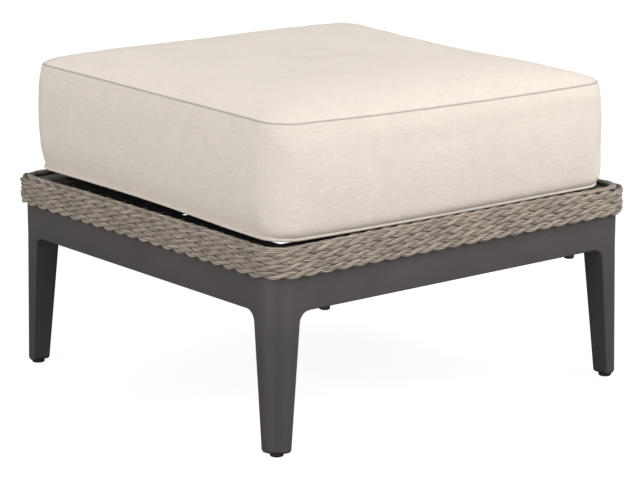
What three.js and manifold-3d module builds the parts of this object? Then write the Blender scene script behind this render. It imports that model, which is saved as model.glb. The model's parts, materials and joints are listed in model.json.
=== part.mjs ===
// Outdoor ottoman footstool: a powder-coated base on four tapered legs, a rope-bound seat frame
// with woven webbing, and a loose box cushion. Millimetres, +X right, +Y back, +Z up.
// The origin is on the floor under the middle of the base. The front apron faces -Y.
import * as THREE from "three";
import { mergeVertices } from "three/addons/utils/BufferGeometryUtils.js";
import Module from "manifold-3d";

const wasm = await Module();
wasm.setup();

// Driving dimensions of the base frame
const baseWidth = 656;
const baseDepth = 626;
const baseHeight = 253.5;
const apronHeight = 52.5;
const apronThickness = 30;
const apronWall = 2.5;
const apronEdgeRadius = 2;

// Driving dimensions of a leg, measured along its two outer faces
const footWidth = 30.4;
const legWidth = 46.6;
const footOuterRadius = 26;
const legOuterRadius = 35;
const legSideRadius = 3;
const footInnerRadius = 2;
const legInnerRadius = 10.5;
const filletRadius = 15;
const stubBeyondFillet = 3;
const legWall = 3.2;
const legRoof = 12;

// Driving dimensions of the plug and glide under a leg
const glideThickness = 5.8;
const glideDiameter = 19;
const glideEdge = 1.6;
const glideInset = 17.5;
const glideStudDiameter = 8;
const glideStudLength = 24;
const plugFlange = 3.2;
const plugChamfer = 1.2;
const plugSpigot = 22;
const plugEdge = 0.6;

// Driving dimensions of the seat frame
const railWidth = 50;
const railHeight = 32;
const railWall = 3;
const railEdgeRadius = 1.5;
const spigotLength = 34;
const spigotTaper = 1;

// Driving dimensions of the bolts that hold the seat frame down
const boltFromCorner = 99;
const boltDiameter = 8;
const boltHeadAcross = 13;
const boltHeadHeight = 5.3;
const boltEnd = 6;
const washerDiameter = 17;
const washerThickness = 1.6;
const nutHeight = 6.5;

// Driving dimensions of the rope laid round the seat frame
const ropeDiameter = 10;
const ropeRowGap = 0.5;
const outerRows = 4;
const climbLength = 130;
const cornerSteps = 4;
const ropeSides = 6;

// Driving dimensions of the webbing
const strapWidth = 80;
const strapThickness = 1.8;
const strapGap = 12;
const leastStrapMargin = 25;
const strapOnRail = 35;

// Driving dimensions of the cushion
const cushionSetback = 19;
const cushionCornerRadius = 38;
const boxingHeight = 154;
const cornerLift = 7;
const crownRise = 24;
const bellyDrop = 5.5;
const sideBulge = 7;
const sidePull = 3;
const weltDiameter = 5;
const coverThickness = 1.2;

// Driving dimensions of the zip in the back of the boxing
const zipFromCorner = 31;
const zipWidth = 24;
const zipThickness = 1;
const sliderWidth = 10;
const sliderHeight = 14;
const sliderDepth = 4;
const pullWidth = 6;
const pullLength = 26;
const pullThickness = 1.6;
const sliderFromEnd = 12;

// Clearances: between pieces that touch, round a shank in its hole, and past a cut
const touch = 0.3;
const holeSlack = 0.4;
const overrun = 1;

// Powder coat, plastic, rope, webbing, fabric, foam and metal finishes
const finishes = {
  powderCoat: { color: 0x4c4847, roughness: 0.55, metalness: 0.3 },
  blackCoat: { color: 0x141313, roughness: 0.6, metalness: 0.2 },
  blackPlastic: { color: 0x1b1b1b, roughness: 0.5, metalness: 0 },
  zinc: { color: 0x3a3a3a, roughness: 0.4, metalness: 0.8 },
  rope: { color: 0x8b8176, roughness: 0.9, metalness: 0 },
  webbing: { color: 0x161616, roughness: 0.85, metalness: 0 },
  linen: { color: 0xe3dbd0, roughness: 0.95, metalness: 0 },
  foam: { color: 0xf1ead8, roughness: 1, metalness: 0 },
};

function finish(name) {
  return new THREE.MeshStandardMaterial(finishes[name]);
}

// Solids: a closed geometry as a manifold, and back
function toSolid(geometry) {
  const bare = geometry.index ? geometry.toNonIndexed() : geometry.clone();
  bare.deleteAttribute("normal");
  bare.deleteAttribute("uv");
  const merged = mergeVertices(bare, 1e-4);
  return new wasm.Manifold(
    new wasm.Mesh({
      numProp: 3,
      vertProperties: merged.attributes.position.array,
      triVerts: new Uint32Array(merged.index.array),
    }),
  );
}

function toGeometry(solid) {
  const mesh = solid.getMesh();
  const geometry = new THREE.BufferGeometry();
  geometry.setAttribute("position", new THREE.BufferAttribute(mesh.vertProperties, 3));
  geometry.setIndex(new THREE.BufferAttribute(mesh.triVerts, 1));
  geometry.computeVertexNormals();
  return geometry;
}

function cut(geometry, ...tools) {
  return toGeometry(tools.reduce((left, tool) => left.subtract(toSolid(tool)), toSolid(geometry)));
}

function join(...geometries) {
  return toGeometry(geometries.map(toSolid).reduce((sum, next) => sum.add(next)));
}

function box(low, high) {
  const size = high.clone().sub(low);
  const middle = low.clone().add(high).multiplyScalar(0.5);
  return new THREE.BoxGeometry(size.x, size.y, size.z).translate(middle.x, middle.y, middle.z);
}

function uprightCylinder(diameter, low, high, sides = 20) {
  const radius = diameter / 2;
  const geometry = new THREE.CylinderGeometry(radius, radius, high - low, sides);
  return geometry.rotateX(Math.PI / 2).translate(0, 0, (low + high) / 2);
}

// A skin through rings of points that all have the same count. Its ends are capped, or the last
// ring joins the first. A turned strip has its squares split the other way, so that a skin laid
// inwards and one laid outwards over the same rings have the same facets
function loft(rings, { joined = false, turned = () => false } = {}) {
  const count = rings[0].length;
  const points = rings.flat();
  const faces = [];
  const lastRing = joined ? rings.length : rings.length - 1;
  for (let r = 0; r < lastRing; r++) {
    for (let i = 0; i < count; i++) {
      const j = (i + 1) % count;
      const [a, b] = [r * count + i, r * count + j];
      const next = ((r + 1) % rings.length) * count;
      const [c, d] = [next + j, next + i];
      faces.push(...(turned(r) ? [a, b, d, b, c, d] : [a, b, c, a, c, d]));
    }
  }
  const capEnd = (ring, offset, flip) => {
    const flat = flattened(ring);
    for (const [a, b, c] of THREE.ShapeUtils.triangulateShape(flat, [])) {
      faces.push(...(flip ? [offset + c, offset + b, offset + a] : [offset + a, offset + b, offset + c]));
    }
  };
  if (!joined) {
    capEnd(rings[0], 0, true);
    capEnd(rings.at(-1), (rings.length - 1) * count, false);
  }
  const geometry = new THREE.BufferGeometry().setFromPoints(points);
  geometry.setIndex(faces);
  geometry.computeVertexNormals();
  return geometry;
}

// The ring's points in the plane that it lies in, counterclockwise as seen from ahead of it
function flattened(ring) {
  const middle = ring.reduce((sum, p) => sum.add(p), new THREE.Vector3()).divideScalar(ring.length);
  const normal = new THREE.Vector3();
  ring.forEach((p, i) => {
    const next = ring[(i + 1) % ring.length];
    normal.add(p.clone().sub(middle).cross(next.clone().sub(middle)));
  });
  normal.normalize();
  const across = ring[0].clone().sub(middle).normalize();
  const along = normal.clone().cross(across);
  return ring.map((p) => {
    const from = p.clone().sub(middle);
    return new THREE.Vector2(from.dot(across), from.dot(along));
  });
}

function arcPoints(centre, radius, startAngle, endAngle, steps) {
  return Array.from({ length: steps + 1 }, (_, i) => {
    const angle = startAngle + ((endAngle - startAngle) * i) / steps;
    return new THREE.Vector2(centre.x + radius * Math.cos(angle), centre.y + radius * Math.sin(angle));
  });
}

function roundedRectangle(low, high, radius, steps = 3) {
  const corners = [
    [high.x - radius, high.y - radius, 0],
    [low.x + radius, high.y - radius, 1],
    [low.x + radius, low.y + radius, 2],
    [high.x - radius, low.y + radius, 3],
  ];
  return corners.flatMap(([x, y, turn]) =>
    arcPoints(new THREE.Vector2(x, y), radius, (turn * Math.PI) / 2, ((turn + 1) * Math.PI) / 2, steps),
  );
}

function atHeight(outline, z) {
  return outline.map((p) => new THREE.Vector3(p.x, p.y, z));
}

// Levels and places that follow from the sizes
const halfWidth = baseWidth / 2;
const halfDepth = baseDepth / 2;
const cushionWidth = baseWidth - 2 * cushionSetback;
const cushionDepth = baseDepth - 2 * cushionSetback;
const zipLength = cushionWidth - 2 * (cushionCornerRadius + zipFromCorner);
const apronLow = baseHeight - apronHeight;
const plugLow = glideThickness;
const legLow = plugLow + plugFlange;
const stubLength = legWidth + filletRadius + stubBeyondFillet;
const railLow = baseHeight + touch;
const railTop = railLow + railHeight;
const corners = [
  { name: "front_left", x: -1, y: -1 },
  { name: "front_right", x: 1, y: -1 },
  { name: "back_right", x: 1, y: 1 },
  { name: "back_left", x: -1, y: 1 },
];
const sides = [
  { name: "front", along: "x", x: 0, y: -1 },
  { name: "right", along: "y", x: 1, y: 0 },
  { name: "back", along: "x", x: 0, y: 1 },
  { name: "left", along: "y", x: -1, y: 0 },
];

const ottoman = new THREE.Group();

function place(parent, name, geometry, finishName) {
  const mesh = new THREE.Mesh(geometry, finish(finishName));
  mesh.name = name;
  parent.add(mesh);
  return mesh;
}

// Corner pieces are modelled at the front left corner, with the corner itself at 0, 0 and the
// piece towards +X and +Y, and are turned to the other three corners
function cornerGroup(corner) {
  const group = new THREE.Group();
  group.position.set(corner.x * halfWidth, corner.y * halfDepth, 0);
  group.rotation.z = Math.atan2(-corner.y, -corner.x) - Math.PI / 4;
  ottoman.add(group);
  return group;
}

// Leg: the section is a square with a large outer corner, which tapers on its inner faces
function legSection(width, outer, inner, side, inset = 0) {
  const low = inset;
  const high = width - inset;
  const sideRadius = Math.max(side - inset, plugEdge);
  const cornerRadius = Math.min(outer - inset, high - low - sideRadius);
  const innerRadius = Math.max(inner - inset, plugEdge);
  const point = (x, y) => new THREE.Vector2(x, y);
  return [
    ...arcPoints(point(low + cornerRadius, low + cornerRadius), cornerRadius, Math.PI, Math.PI * 1.5, 8),
    ...arcPoints(point(high - sideRadius, low + sideRadius), sideRadius, -Math.PI / 2, 0, 3),
    ...arcPoints(point(high - innerRadius, high - innerRadius), innerRadius, 0, Math.PI / 2, 4),
    ...arcPoints(point(low + sideRadius, high - sideRadius), sideRadius, Math.PI / 2, Math.PI, 3),
  ];
}

// A value that changes evenly from the foot to the apron
function alongLeg(foot, top, z) {
  return foot + (top - foot) * Math.min((z - legLow) / (apronLow - legLow), 1);
}

function legRing(z, inset = 0) {
  const width = alongLeg(footWidth, legWidth, z);
  const outer = alongLeg(footOuterRadius, legOuterRadius, z);
  const inner = alongLeg(footInnerRadius, legInnerRadius, z);
  return atHeight(legSection(width, outer, inner, legSideRadius, inset), z);
}

// A stub of the leg casting that carries on the apron's line, with the fillet under it
function legStub() {
  const start = legOuterRadius;
  const outline = new THREE.Shape([
    new THREE.Vector2(start, baseHeight),
    new THREE.Vector2(start, apronLow - filletRadius),
    ...arcPoints(
      new THREE.Vector2(legWidth + filletRadius, apronLow - filletRadius),
      filletRadius,
      Math.PI,
      Math.PI / 2,
      6,
    ),
    new THREE.Vector2(stubLength, apronLow),
    new THREE.Vector2(stubLength, baseHeight),
  ]);
  const stub = new THREE.ExtrudeGeometry(outline, { depth: apronThickness, bevelEnabled: false });
  return stub.rotateX(Math.PI / 2).translate(0, apronThickness, 0);
}

// The mirror image in the corner's diagonal, with its faces turned back outwards
function mirrored(geometry) {
  const loose = geometry.index ? geometry.toNonIndexed() : geometry.clone();
  const swap = new THREE.Matrix4().makeBasis(
    new THREE.Vector3(0, 1, 0),
    new THREE.Vector3(1, 0, 0),
    new THREE.Vector3(0, 0, 1),
  );
  const position = loose.applyMatrix4(swap).attributes.position;
  const turned = new THREE.BufferAttribute(new Float32Array(position.array.length), 3);
  for (let i = 0; i < position.count; i += 3) {
    [0, 2, 1].forEach((from, k) => {
      turned.setXYZ(i + k, position.getX(i + from), position.getY(i + from), position.getZ(i + from));
    });
  }
  return new THREE.BufferGeometry().setAttribute("position", turned);
}

function legCasting() {
  const shaft = loft([legRing(legLow), legRing(apronLow - filletRadius), legRing(apronLow), legRing(baseHeight)]);
  const bore = loft([
    legRing(legLow, legWall).map((p) => p.setZ(legLow - overrun)),
    legRing(legLow, legWall),
    legRing(apronLow, legWall),
    legRing(baseHeight - legRoof, legWall),
  ]);
  return cut(join(shaft, legStub(), mirrored(legStub())), bore);
}

// Plug: a chamfered flange under the leg's end and a spigot up its bore
function legPlug() {
  const flange = loft([
    legRing(legLow, plugChamfer + plugEdge).map((p) => p.setZ(plugLow)),
    legRing(legLow, plugEdge).map((p) => p.setZ(plugLow + plugChamfer)),
    legRing(legLow, plugEdge).map((p) => p.setZ(legLow - touch)),
  ]);
  const fit = legWall + touch;
  const spigotTop = legLow + plugSpigot;
  const outer = alongLeg(footOuterRadius, legOuterRadius, spigotTop);
  const section = legSection(footWidth, outer, footInnerRadius, legSideRadius, fit);
  const spigot = loft([atHeight(section, plugLow + plugChamfer), atHeight(section, spigotTop)]);
  const studHole = uprightCylinder(
    glideStudDiameter + 2 * holeSlack,
    plugLow - overrun,
    spigotTop + overrun,
  ).translate(glideInset, glideInset, 0);
  return cut(join(flange, spigot), studHole);
}

// Glide: a turned foot with an eased edge on a stud
function glide() {
  const radius = glideDiameter / 2;
  const stud = glideStudDiameter / 2;
  const top = glideThickness - touch;
  const profile = [
    new THREE.Vector2(0, 0),
    new THREE.Vector2(radius - glideEdge, 0),
    new THREE.Vector2(radius, glideEdge),
    new THREE.Vector2(radius, top - glideEdge),
    new THREE.Vector2(radius - glideEdge, top),
    new THREE.Vector2(stud, top),
    new THREE.Vector2(stud, glideStudLength),
    new THREE.Vector2(0, glideStudLength),
  ];
  return new THREE.LatheGeometry(profile, 20).rotateX(Math.PI / 2).translate(glideInset, glideInset, 0);
}

// Rectangular tube along +X, with its outer face at Y 0 and its underside at Z 0
function innerRadius(radius, wall) {
  return Math.min(radius, wall);
}

function tube(length, width, height, wall, radius) {
  const low = new THREE.Vector2(0, 0);
  const high = new THREE.Vector2(width, height);
  const outline = new THREE.Shape(roundedRectangle(low, high, radius));
  const inside = roundedRectangle(
    low.clone().addScalar(wall),
    high.clone().subScalar(wall),
    innerRadius(radius, wall),
    1,
  );
  outline.holes.push(new THREE.Path(inside));
  const geometry = new THREE.ExtrudeGeometry(outline, { depth: length, bevelEnabled: false });
  return geometry.rotateX(Math.PI / 2).rotateZ(Math.PI / 2).translate(-length / 2, 0, 0);
}

// A group at the middle of one side, with +X along the side and +Y inwards from the outer face
function sideGroup(side) {
  const group = new THREE.Group();
  group.position.set(side.x * halfWidth, side.y * halfDepth, 0);
  group.rotation.z = Math.atan2(-side.y, -side.x) - Math.PI / 2;
  ottoman.add(group);
  return group;
}

function sideLength(side) {
  return side.along === "x" ? baseWidth : baseDepth;
}

function boltPlaces(side) {
  return side.along === "x" ? [boltFromCorner - halfWidth, halfWidth - boltFromCorner] : [];
}

// Apron: a tube between two leg castings. The front and back ones are drilled for bolts
function apron(side) {
  const length = sideLength(side) - 2 * (stubLength + touch);
  const body = tube(length, apronThickness, apronHeight, apronWall, apronEdgeRadius).translate(0, 0, apronLow);
  const drills = boltPlaces(side).map((x) =>
    uprightCylinder(boltDiameter + 2 * holeSlack, apronLow - overrun, baseHeight + overrun).translate(
      x,
      apronThickness / 2,
      0,
    ),
  );
  return drills.length ? cut(body, ...drills) : body;
}

// Seat rail: a wider tube lying on the apron, between two corner castings with spigots
function rail(side) {
  const length = sideLength(side) - 2 * (railWidth + touch);
  const body = tube(length, railWidth, railHeight, railWall, railEdgeRadius).translate(0, 0, railLow);
  const drills = boltPlaces(side).map((x) =>
    uprightCylinder(boltDiameter + 2 * holeSlack, railLow - overrun, railLow + railWall + overrun).translate(
      x,
      apronThickness / 2,
      0,
    ),
  );
  return drills.length ? cut(body, ...drills) : body;
}

function seatCorner() {
  const outline = new THREE.Shape([
    ...arcPoints(
      new THREE.Vector2(legOuterRadius, legOuterRadius),
      legOuterRadius,
      Math.PI,
      Math.PI * 1.5,
      8,
    ),
    new THREE.Vector2(railWidth, 0),
    new THREE.Vector2(railWidth, railWidth),
    new THREE.Vector2(0, railWidth),
  ]);
  const block = new THREE.ExtrudeGeometry(outline, { depth: railHeight, bevelEnabled: false });
  block.translate(0, 0, railLow);
  const fit = railWall + touch;
  const spigotRing = (x, inset) =>
    roundedRectangle(
      new THREE.Vector2(fit + inset, fit + inset),
      new THREE.Vector2(railWidth - fit - inset, railHeight - fit - inset),
      innerRadius(railEdgeRadius, railWall),
      1,
    ).map((p) => new THREE.Vector3(x, p.x, railLow + p.y));
  const reach = railWidth + spigotLength;
  const spigot = loft([
    spigotRing(railWidth - overrun, 0),
    spigotRing(reach - spigotTaper, 0),
    spigotRing(reach, spigotTaper),
  ]);
  return join(block, spigot, mirrored(spigot));
}

// Bolt from under the apron up into the nut inside the seat rail
const washerTop = apronLow - touch;
const headTop = washerTop - washerThickness - touch;
const nutLow = railLow + railWall + touch;

function hexagon(across) {
  const radius = across / 2 / Math.cos(Math.PI / 6);
  return Array.from({ length: 6 }, (_, i) => {
    const angle = (i * Math.PI) / 3;
    return new THREE.Vector2(radius * Math.cos(angle), radius * Math.sin(angle));
  });
}

function bolt() {
  const head = new THREE.ExtrudeGeometry(new THREE.Shape(hexagon(boltHeadAcross)), {
    depth: boltHeadHeight,
    bevelEnabled: false,
  }).translate(0, 0, headTop - boltHeadHeight);
  const shank = uprightCylinder(boltDiameter, headTop - boltHeadHeight / 2, nutLow + nutHeight + boltEnd, 16);
  return join(head, shank);
}

function washer() {
  const disc = uprightCylinder(washerDiameter, washerTop - washerThickness, washerTop);
  return cut(
    disc,
    uprightCylinder(boltDiameter + 2 * holeSlack, headTop - overrun, washerTop + overrun, 16),
  );
}

function nut() {
  const body = new THREE.ExtrudeGeometry(new THREE.Shape(hexagon(boltHeadAcross)), {
    depth: nutHeight,
    bevelEnabled: false,
  }).translate(0, 0, nutLow);
  return cut(
    body,
    uprightCylinder(boltDiameter + 2 * holeSlack, nutLow - overrun, nutLow + nutHeight + overrun, 16),
  );
}

// Rope: one unbroken length laid round the rail, up its outer face and then on to its top
const ropeRadius = ropeDiameter / 2;
const rowPitch = ropeDiameter + ropeRowGap;
const topStepPlace = climbLength + ropeDiameter;
const climbPlaceShares = [0.5, 0.3, -0.3, -0.5];
const climbLevelShares = [0, 0.1, 0.9, 1];

function ropeRows() {
  const outer = Array.from({ length: outerRows }, (_, row) => ({
    offset: ropeRadius + touch,
    z: railLow + ropeRadius + row * rowPitch,
  }));
  return [...outer, { offset: ropeRadius + touch - rowPitch, z: railTop + touch + ropeRadius }];
}

// The vertices of a polygon that touches the corner's arc, so that no chord cuts inside it
function ropeCorner(corner, startTurn, row) {
  const step = Math.PI / 2 / cornerSteps;
  const radius = (legOuterRadius + row.offset) / Math.cos(step / 2);
  return Array.from({ length: cornerSteps }, (_, i) => {
    const angle = (startTurn * Math.PI) / 2 + (i + 0.5) * step;
    return new THREE.Vector3(
      corner.x * (halfWidth - legOuterRadius) + radius * Math.cos(angle),
      corner.y * (halfDepth - legOuterRadius) + radius * Math.sin(angle),
      row.z,
    );
  });
}

function ropeRoute() {
  const [frontLeft, frontRight, backRight, backLeft] = corners;
  const onBack = (x, row) => new THREE.Vector3(x, halfDepth + row.offset, row.z);
  const rows = ropeRows();
  const route = [onBack(-climbLength / 2, rows[0])];
  rows.forEach((row, k) => {
    route.push(
      ...ropeCorner(backLeft, 1, row),
      ...ropeCorner(frontLeft, 2, row),
      ...ropeCorner(frontRight, 3, row),
      ...ropeCorner(backRight, 0, row),
    );
    const next = rows[k + 1];
    const place = k === outerRows - 1 ? topStepPlace : 0;
    if (!next) {
      route.push(onBack(topStepPlace + climbLength / 2 + ropeDiameter, row));
      return;
    }
    climbPlaceShares.forEach((placeShare, i) => {
      const level = {
        offset: row.offset + (next.offset - row.offset) * climbLevelShares[i],
        z: row.z + (next.z - row.z) * climbLevelShares[i],
      };
      route.push(onBack(place + climbLength * placeShare, level));
    });
  });
  return route;
}

// A tube of flat-sided section along a route of straight runs, mitred at each bend
function mitredTube(route, radius, sideCount, closed = false) {
  const up = new THREE.Vector3(0, 0, 1);
  const count = route.length;
  const direction = (a, b) => b.clone().sub(a).normalize();
  return route.map((point, i) => {
    const before = closed || i > 0 ? direction(route[(i - 1 + count) % count], point) : null;
    const after = closed || i + 1 < count ? direction(point, route[(i + 1) % count]) : null;
    const tangent = (before ?? after).clone().add(after ?? before).normalize();
    const stretch = 1 / tangent.dot(after ?? before);
    const side = up.clone().cross(tangent).normalize();
    const lift = tangent.clone().cross(side);
    return Array.from({ length: sideCount }, (_, k) => {
      const angle = (k * 2 * Math.PI) / sideCount;
      return point
        .clone()
        .addScaledVector(side, radius * stretch * Math.cos(angle))
        .addScaledVector(lift, radius * Math.sin(angle));
    });
  });
}

function leastGap(route, diameter) {
  const runs = route.slice(1).map((end, i) => new THREE.Line3(route[i], end));
  const samples = 8;
  const nearest = new THREE.Vector3();
  let least = Infinity;
  runs.forEach((run, i) => {
    for (let s = 0; s <= samples; s++) {
      const point = run.at(s / samples, new THREE.Vector3());
      runs.forEach((other, j) => {
        if (Math.abs(i - j) < cornerSteps) return;
        other.closestPointToPoint(point, true, nearest);
        least = Math.min(least, point.distanceTo(nearest) - diameter);
      });
    }
  });
  return least;
}

function ropeWinding() {
  const route = ropeRoute();
  const length = route.slice(1).reduce((sum, p, i) => sum + p.distanceTo(route[i]), 0);
  console.log(
    "The rope is " + length.toFixed(0) + " mm long, with a least gap to itself of " +
      leastGap(route, ropeDiameter).toFixed(2) + " mm",
  );
  return loft(mitredTube(route, ropeRadius, ropeSides));
}

// Webbing: flat straps woven over and under, lying on the rails at their ends
const strapPitch = strapWidth + strapGap;
const weaveRise = (strapThickness + holeSlack) / 2;
const weaveLevel = railTop + touch + strapThickness / 2;
const levelEndShare = 1 / 6;
const levelRun = strapWidth / 2 + strapGap * levelEndShare;
const rampRun = strapWidth / 2 + strapGap * (1 - levelEndShare);

// The places of the straps that lie side by side between two rails, from the middle of the frame
function strapPlaces(half) {
  const opening = 2 * (half - railWidth - leastStrapMargin);
  const count = Math.floor((opening + strapGap) / strapPitch);
  return Array.from({ length: count }, (_, i) => (i - (count - 1) / 2) * strapPitch);
}

function strapPath(half, firstOver) {
  const end = half - railWidth + strapOnRail;
  const crossed = strapPlaces(half);
  const path = [[-end, 0]];
  crossed.forEach((middle, i) => {
    const level = (i % 2 === 0) === firstOver ? weaveRise : -weaveRise;
    if (i === 0) path.push([middle - rampRun, 0]);
    path.push([middle - levelRun, level], [middle + levelRun, level]);
    if (i === crossed.length - 1) path.push([middle + rampRun, 0]);
  });
  path.push([end, 0]);
  return path;
}

function strap(half, place, firstOver) {
  const path = strapPath(half, firstOver);
  const edge = (rise) => path.map(([s, level]) => new THREE.Vector2(s, weaveLevel + level + rise));
  const outline = new THREE.Shape([...edge(-strapThickness / 2), ...edge(strapThickness / 2).reverse()]);
  const band = new THREE.ExtrudeGeometry(outline, { depth: strapWidth, bevelEnabled: false });
  return band.rotateX(Math.PI / 2).translate(0, place + strapWidth / 2, 0);
}

// Cushion: an outline with rounded corners and drawn-in sides, which its height scales and lifts
const sideStations = 3;
const cornerStations = 4;
const profileShares = [0, 0.06, 0.22, 0.4, 0.6, 0.82, 1];
const bulgeShares = [0, 0.12, 0.7, 1, 1, 0.7, 0];
const crownShares = [0.06, 0.15, 0.3, 0.5, 0.85];
const bellyShares = [0.08, 0.2, 0.45, 0.85];
const crownPower = 6;
const bellyPower = 5;
const lowLiftShare = 0.4;
const webbingTop = weaveLevel + weaveRise + strapThickness / 2;
const cushionLow = webbingTop + touch + bellyDrop + coverThickness;
const seamNotch = weltDiameter / 2 + touch;

function cushionOutline(offset) {
  const halfX = cushionWidth / 2 - cushionCornerRadius;
  const halfY = cushionDepth / 2 - cushionCornerRadius;
  const radius = cushionCornerRadius + offset;
  const turnCorners = [
    [1, 1],
    [-1, 1],
    [-1, -1],
    [1, -1],
  ];
  const points = [];
  turnCorners.forEach(([signX, signY], turn) => {
    const centre = new THREE.Vector2(signX * halfX, signY * halfY);
    const start = (turn * Math.PI) / 2;
    for (const p of arcPoints(centre, radius, start, start + Math.PI / 2, cornerStations)) {
      points.push({ x: p.x, y: p.y, corner: 1 });
    }
    const [nextX, nextY] = turnCorners[(turn + 1) % 4];
    const from = points.at(-1);
    const outward = new THREE.Vector2(Math.cos(start + Math.PI / 2), Math.sin(start + Math.PI / 2));
    const pull = turn === 0 ? 0 : sidePull;
    for (let i = 1; i <= sideStations; i++) {
      const share = i / (sideStations + 1);
      const drawn = pull * Math.sin(share * Math.PI);
      points.push({
        x: from.x + (nextX - signX) * halfX * share - outward.x * drawn,
        y: from.y + (nextY - signY) * halfY * share - outward.y * drawn,
        corner: Math.abs(2 * share - 1) ** 2,
      });
    }
  });
  return points;
}

// A ring of the side at a share of the boxing's height, set in from the outer surface
function sideRing(share, bulge, inset, rise = 0) {
  const notch = share === 0 ? seamNotch : 0;
  return cushionOutline(bulge * sideBulge - notch - inset).map((p) => {
    const low = cushionLow + p.corner * cornerLift * lowLiftShare;
    const high = cushionLow + boxingHeight + p.corner * cornerLift;
    return new THREE.Vector3(p.x, p.y, low + (high - low) * share + rise);
  });
}

// The rings of a panel, from an inset of its edge to near its middle, at shares of the way there
function panelRings(edge, inset, shares, power, rise) {
  const low = Math.min(...edge.map((p) => p.z));
  return [inset / (cushionDepth / 2), ...shares].map((share) => {
    const left = 1 - share;
    const level = left ** power;
    return edge.map(
      (p) => new THREE.Vector3(p.x * left, p.y * left, low + (p.z - low) * level + rise * (1 - level)),
    );
  });
}

function topRings(inset, drop) {
  const edge = sideRing(1, 0, 0, coverThickness - drop);
  return panelRings(edge, inset, crownShares, crownPower, crownRise);
}

function bottomRings(inset, rise) {
  const edge = sideRing(0, 0, 0, rise - coverThickness);
  return panelRings(edge, inset, bellyShares, bellyPower, -bellyDrop);
}

function panel(lower, upper) {
  return loft([...lower.reverse(), ...upper], { turned: (strip) => strip < lower.length - 1 });
}

function cushionTopPanel() {
  return panel(topRings(0, coverThickness), topRings(0, 0));
}

function cushionBottomPanel() {
  return panel(bottomRings(0, 0), bottomRings(0, coverThickness));
}

// The inside of the cover, a clearance away, is the outside of the foam
function cushionCore() {
  const inset = coverThickness + touch;
  const underside = bottomRings(inset, inset).reverse();
  const sidesOfCore = profileShares
    .slice(1, -1)
    .map((share, i) => sideRing(share, bulgeShares[i + 1], inset));
  return loft([...underside, ...sidesOfCore, ...topRings(inset, inset)], {
    turned: (strip) => strip < underside.length - 1,
  });
}

const zipMiddle = cushionLow + boxingHeight / 2;
const backFace = cushionDepth / 2 + sideBulge;

function zipBox(lengthOver, widthOver, near, far) {
  const x = zipLength / 2 + lengthOver;
  const z = zipWidth / 2 + widthOver;
  return box(
    new THREE.Vector3(-x, near, zipMiddle - z),
    new THREE.Vector3(x, far, zipMiddle + z),
  );
}

function cushionBoxing() {
  const ends = [touch, ...profileShares.slice(1, -1).map(() => 0), -touch];
  const outer = profileShares.map((share, i) => sideRing(share, bulgeShares[i], 0, ends[i]));
  const inner = profileShares.map((share, i) => sideRing(share, bulgeShares[i], coverThickness, ends[i]));
  const band = loft([...outer, ...inner.reverse()], {
    joined: true,
    turned: (strip) => strip >= outer.length,
  });
  return cut(band, zipBox(touch, touch, backFace - coverThickness - overrun, backFace + overrun));
}

function cushionWelt() {
  const route = sideRing(0, 0, -seamNotch);
  return loft(mitredTube(route, weltDiameter / 2, 8, true), { joined: true });
}

const tapeFace = backFace - coverThickness + zipThickness;

function zipTape() {
  return zipBox(0, 0, tapeFace - zipThickness, tapeFace);
}

function zipSlider() {
  const back = tapeFace + touch;
  const x = zipLength / 2 - sliderFromEnd;
  const body = box(
    new THREE.Vector3(x - sliderWidth / 2, back, zipMiddle - sliderHeight / 2),
    new THREE.Vector3(x + sliderWidth / 2, back + sliderDepth, zipMiddle + sliderHeight / 2),
  );
  const tab = back + (sliderDepth - pullThickness) / 2;
  const pull = box(
    new THREE.Vector3(x - pullWidth / 2, tab, zipMiddle - sliderHeight / 2 - pullLength),
    new THREE.Vector3(x + pullWidth / 2, tab + pullThickness, zipMiddle),
  );
  return join(body, pull);
}

// Assembly: the base at its corners and sides, the seat frame on it, and the cushion on the webbing
for (const corner of corners) {
  const group = cornerGroup(corner);
  place(group, "leg_" + corner.name, legCasting(), "powderCoat");
  place(group, "leg_plug_" + corner.name, legPlug(), "blackPlastic");
  place(group, "glide_" + corner.name, glide(), "blackPlastic");
  place(group, "seat_corner_" + corner.name, seatCorner(), "blackCoat");
}

for (const side of sides) {
  const group = sideGroup(side);
  place(group, "apron_" + side.name, apron(side), "powderCoat");
  place(group, "seat_rail_" + side.name, rail(side), "blackCoat");
  for (const x of boltPlaces(side)) {
    const hand = x * -side.y > 0 ? "right" : "left";
    const spot = new THREE.Group();
    spot.position.set(x, apronThickness / 2, 0);
    group.add(spot);
    place(spot, "rail_bolt_" + side.name + "_" + hand, bolt(), "zinc");
    place(spot, "bolt_washer_" + side.name + "_" + hand, washer(), "zinc");
    place(spot, "rail_nut_" + side.name + "_" + hand, nut(), "zinc");
  }
}

strapPlaces(halfDepth).forEach((middle, i) => {
  place(ottoman, "webbing_across_" + (i + 1), strap(halfWidth, middle, i % 2 === 0), "webbing");
});

strapPlaces(halfWidth).forEach((middle, i) => {
  const lengthwise = strap(halfDepth, -middle, i % 2 === 1).rotateZ(Math.PI / 2);
  place(ottoman, "webbing_lengthwise_" + (i + 1), lengthwise, "webbing");
});

place(ottoman, "rope_winding", ropeWinding(), "rope");
place(ottoman, "cushion_core", cushionCore(), "foam");
place(ottoman, "cushion_bottom_panel", cushionBottomPanel(), "linen");
place(ottoman, "cushion_boxing", cushionBoxing(), "linen");
place(ottoman, "cushion_top_panel", cushionTopPanel(), "linen");
place(ottoman, "cushion_welt", cushionWelt(), "linen");
place(ottoman, "zip_tape", zipTape(), "linen");
place(ottoman, "zip_slider", zipSlider(), "zinc");

export default ottoman;
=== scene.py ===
"""Outdoor ottoman footstool: a coated frame, a rope-bound seat with webbing and a linen box cushion.

Metres, +X right, +Y back, +Z up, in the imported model's own frame.
"""

import sys

import itertools
import json
import logging
import math
from dataclasses import dataclass, field
from enum import Enum
from typing import Any, Iterable, Sequence

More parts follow.
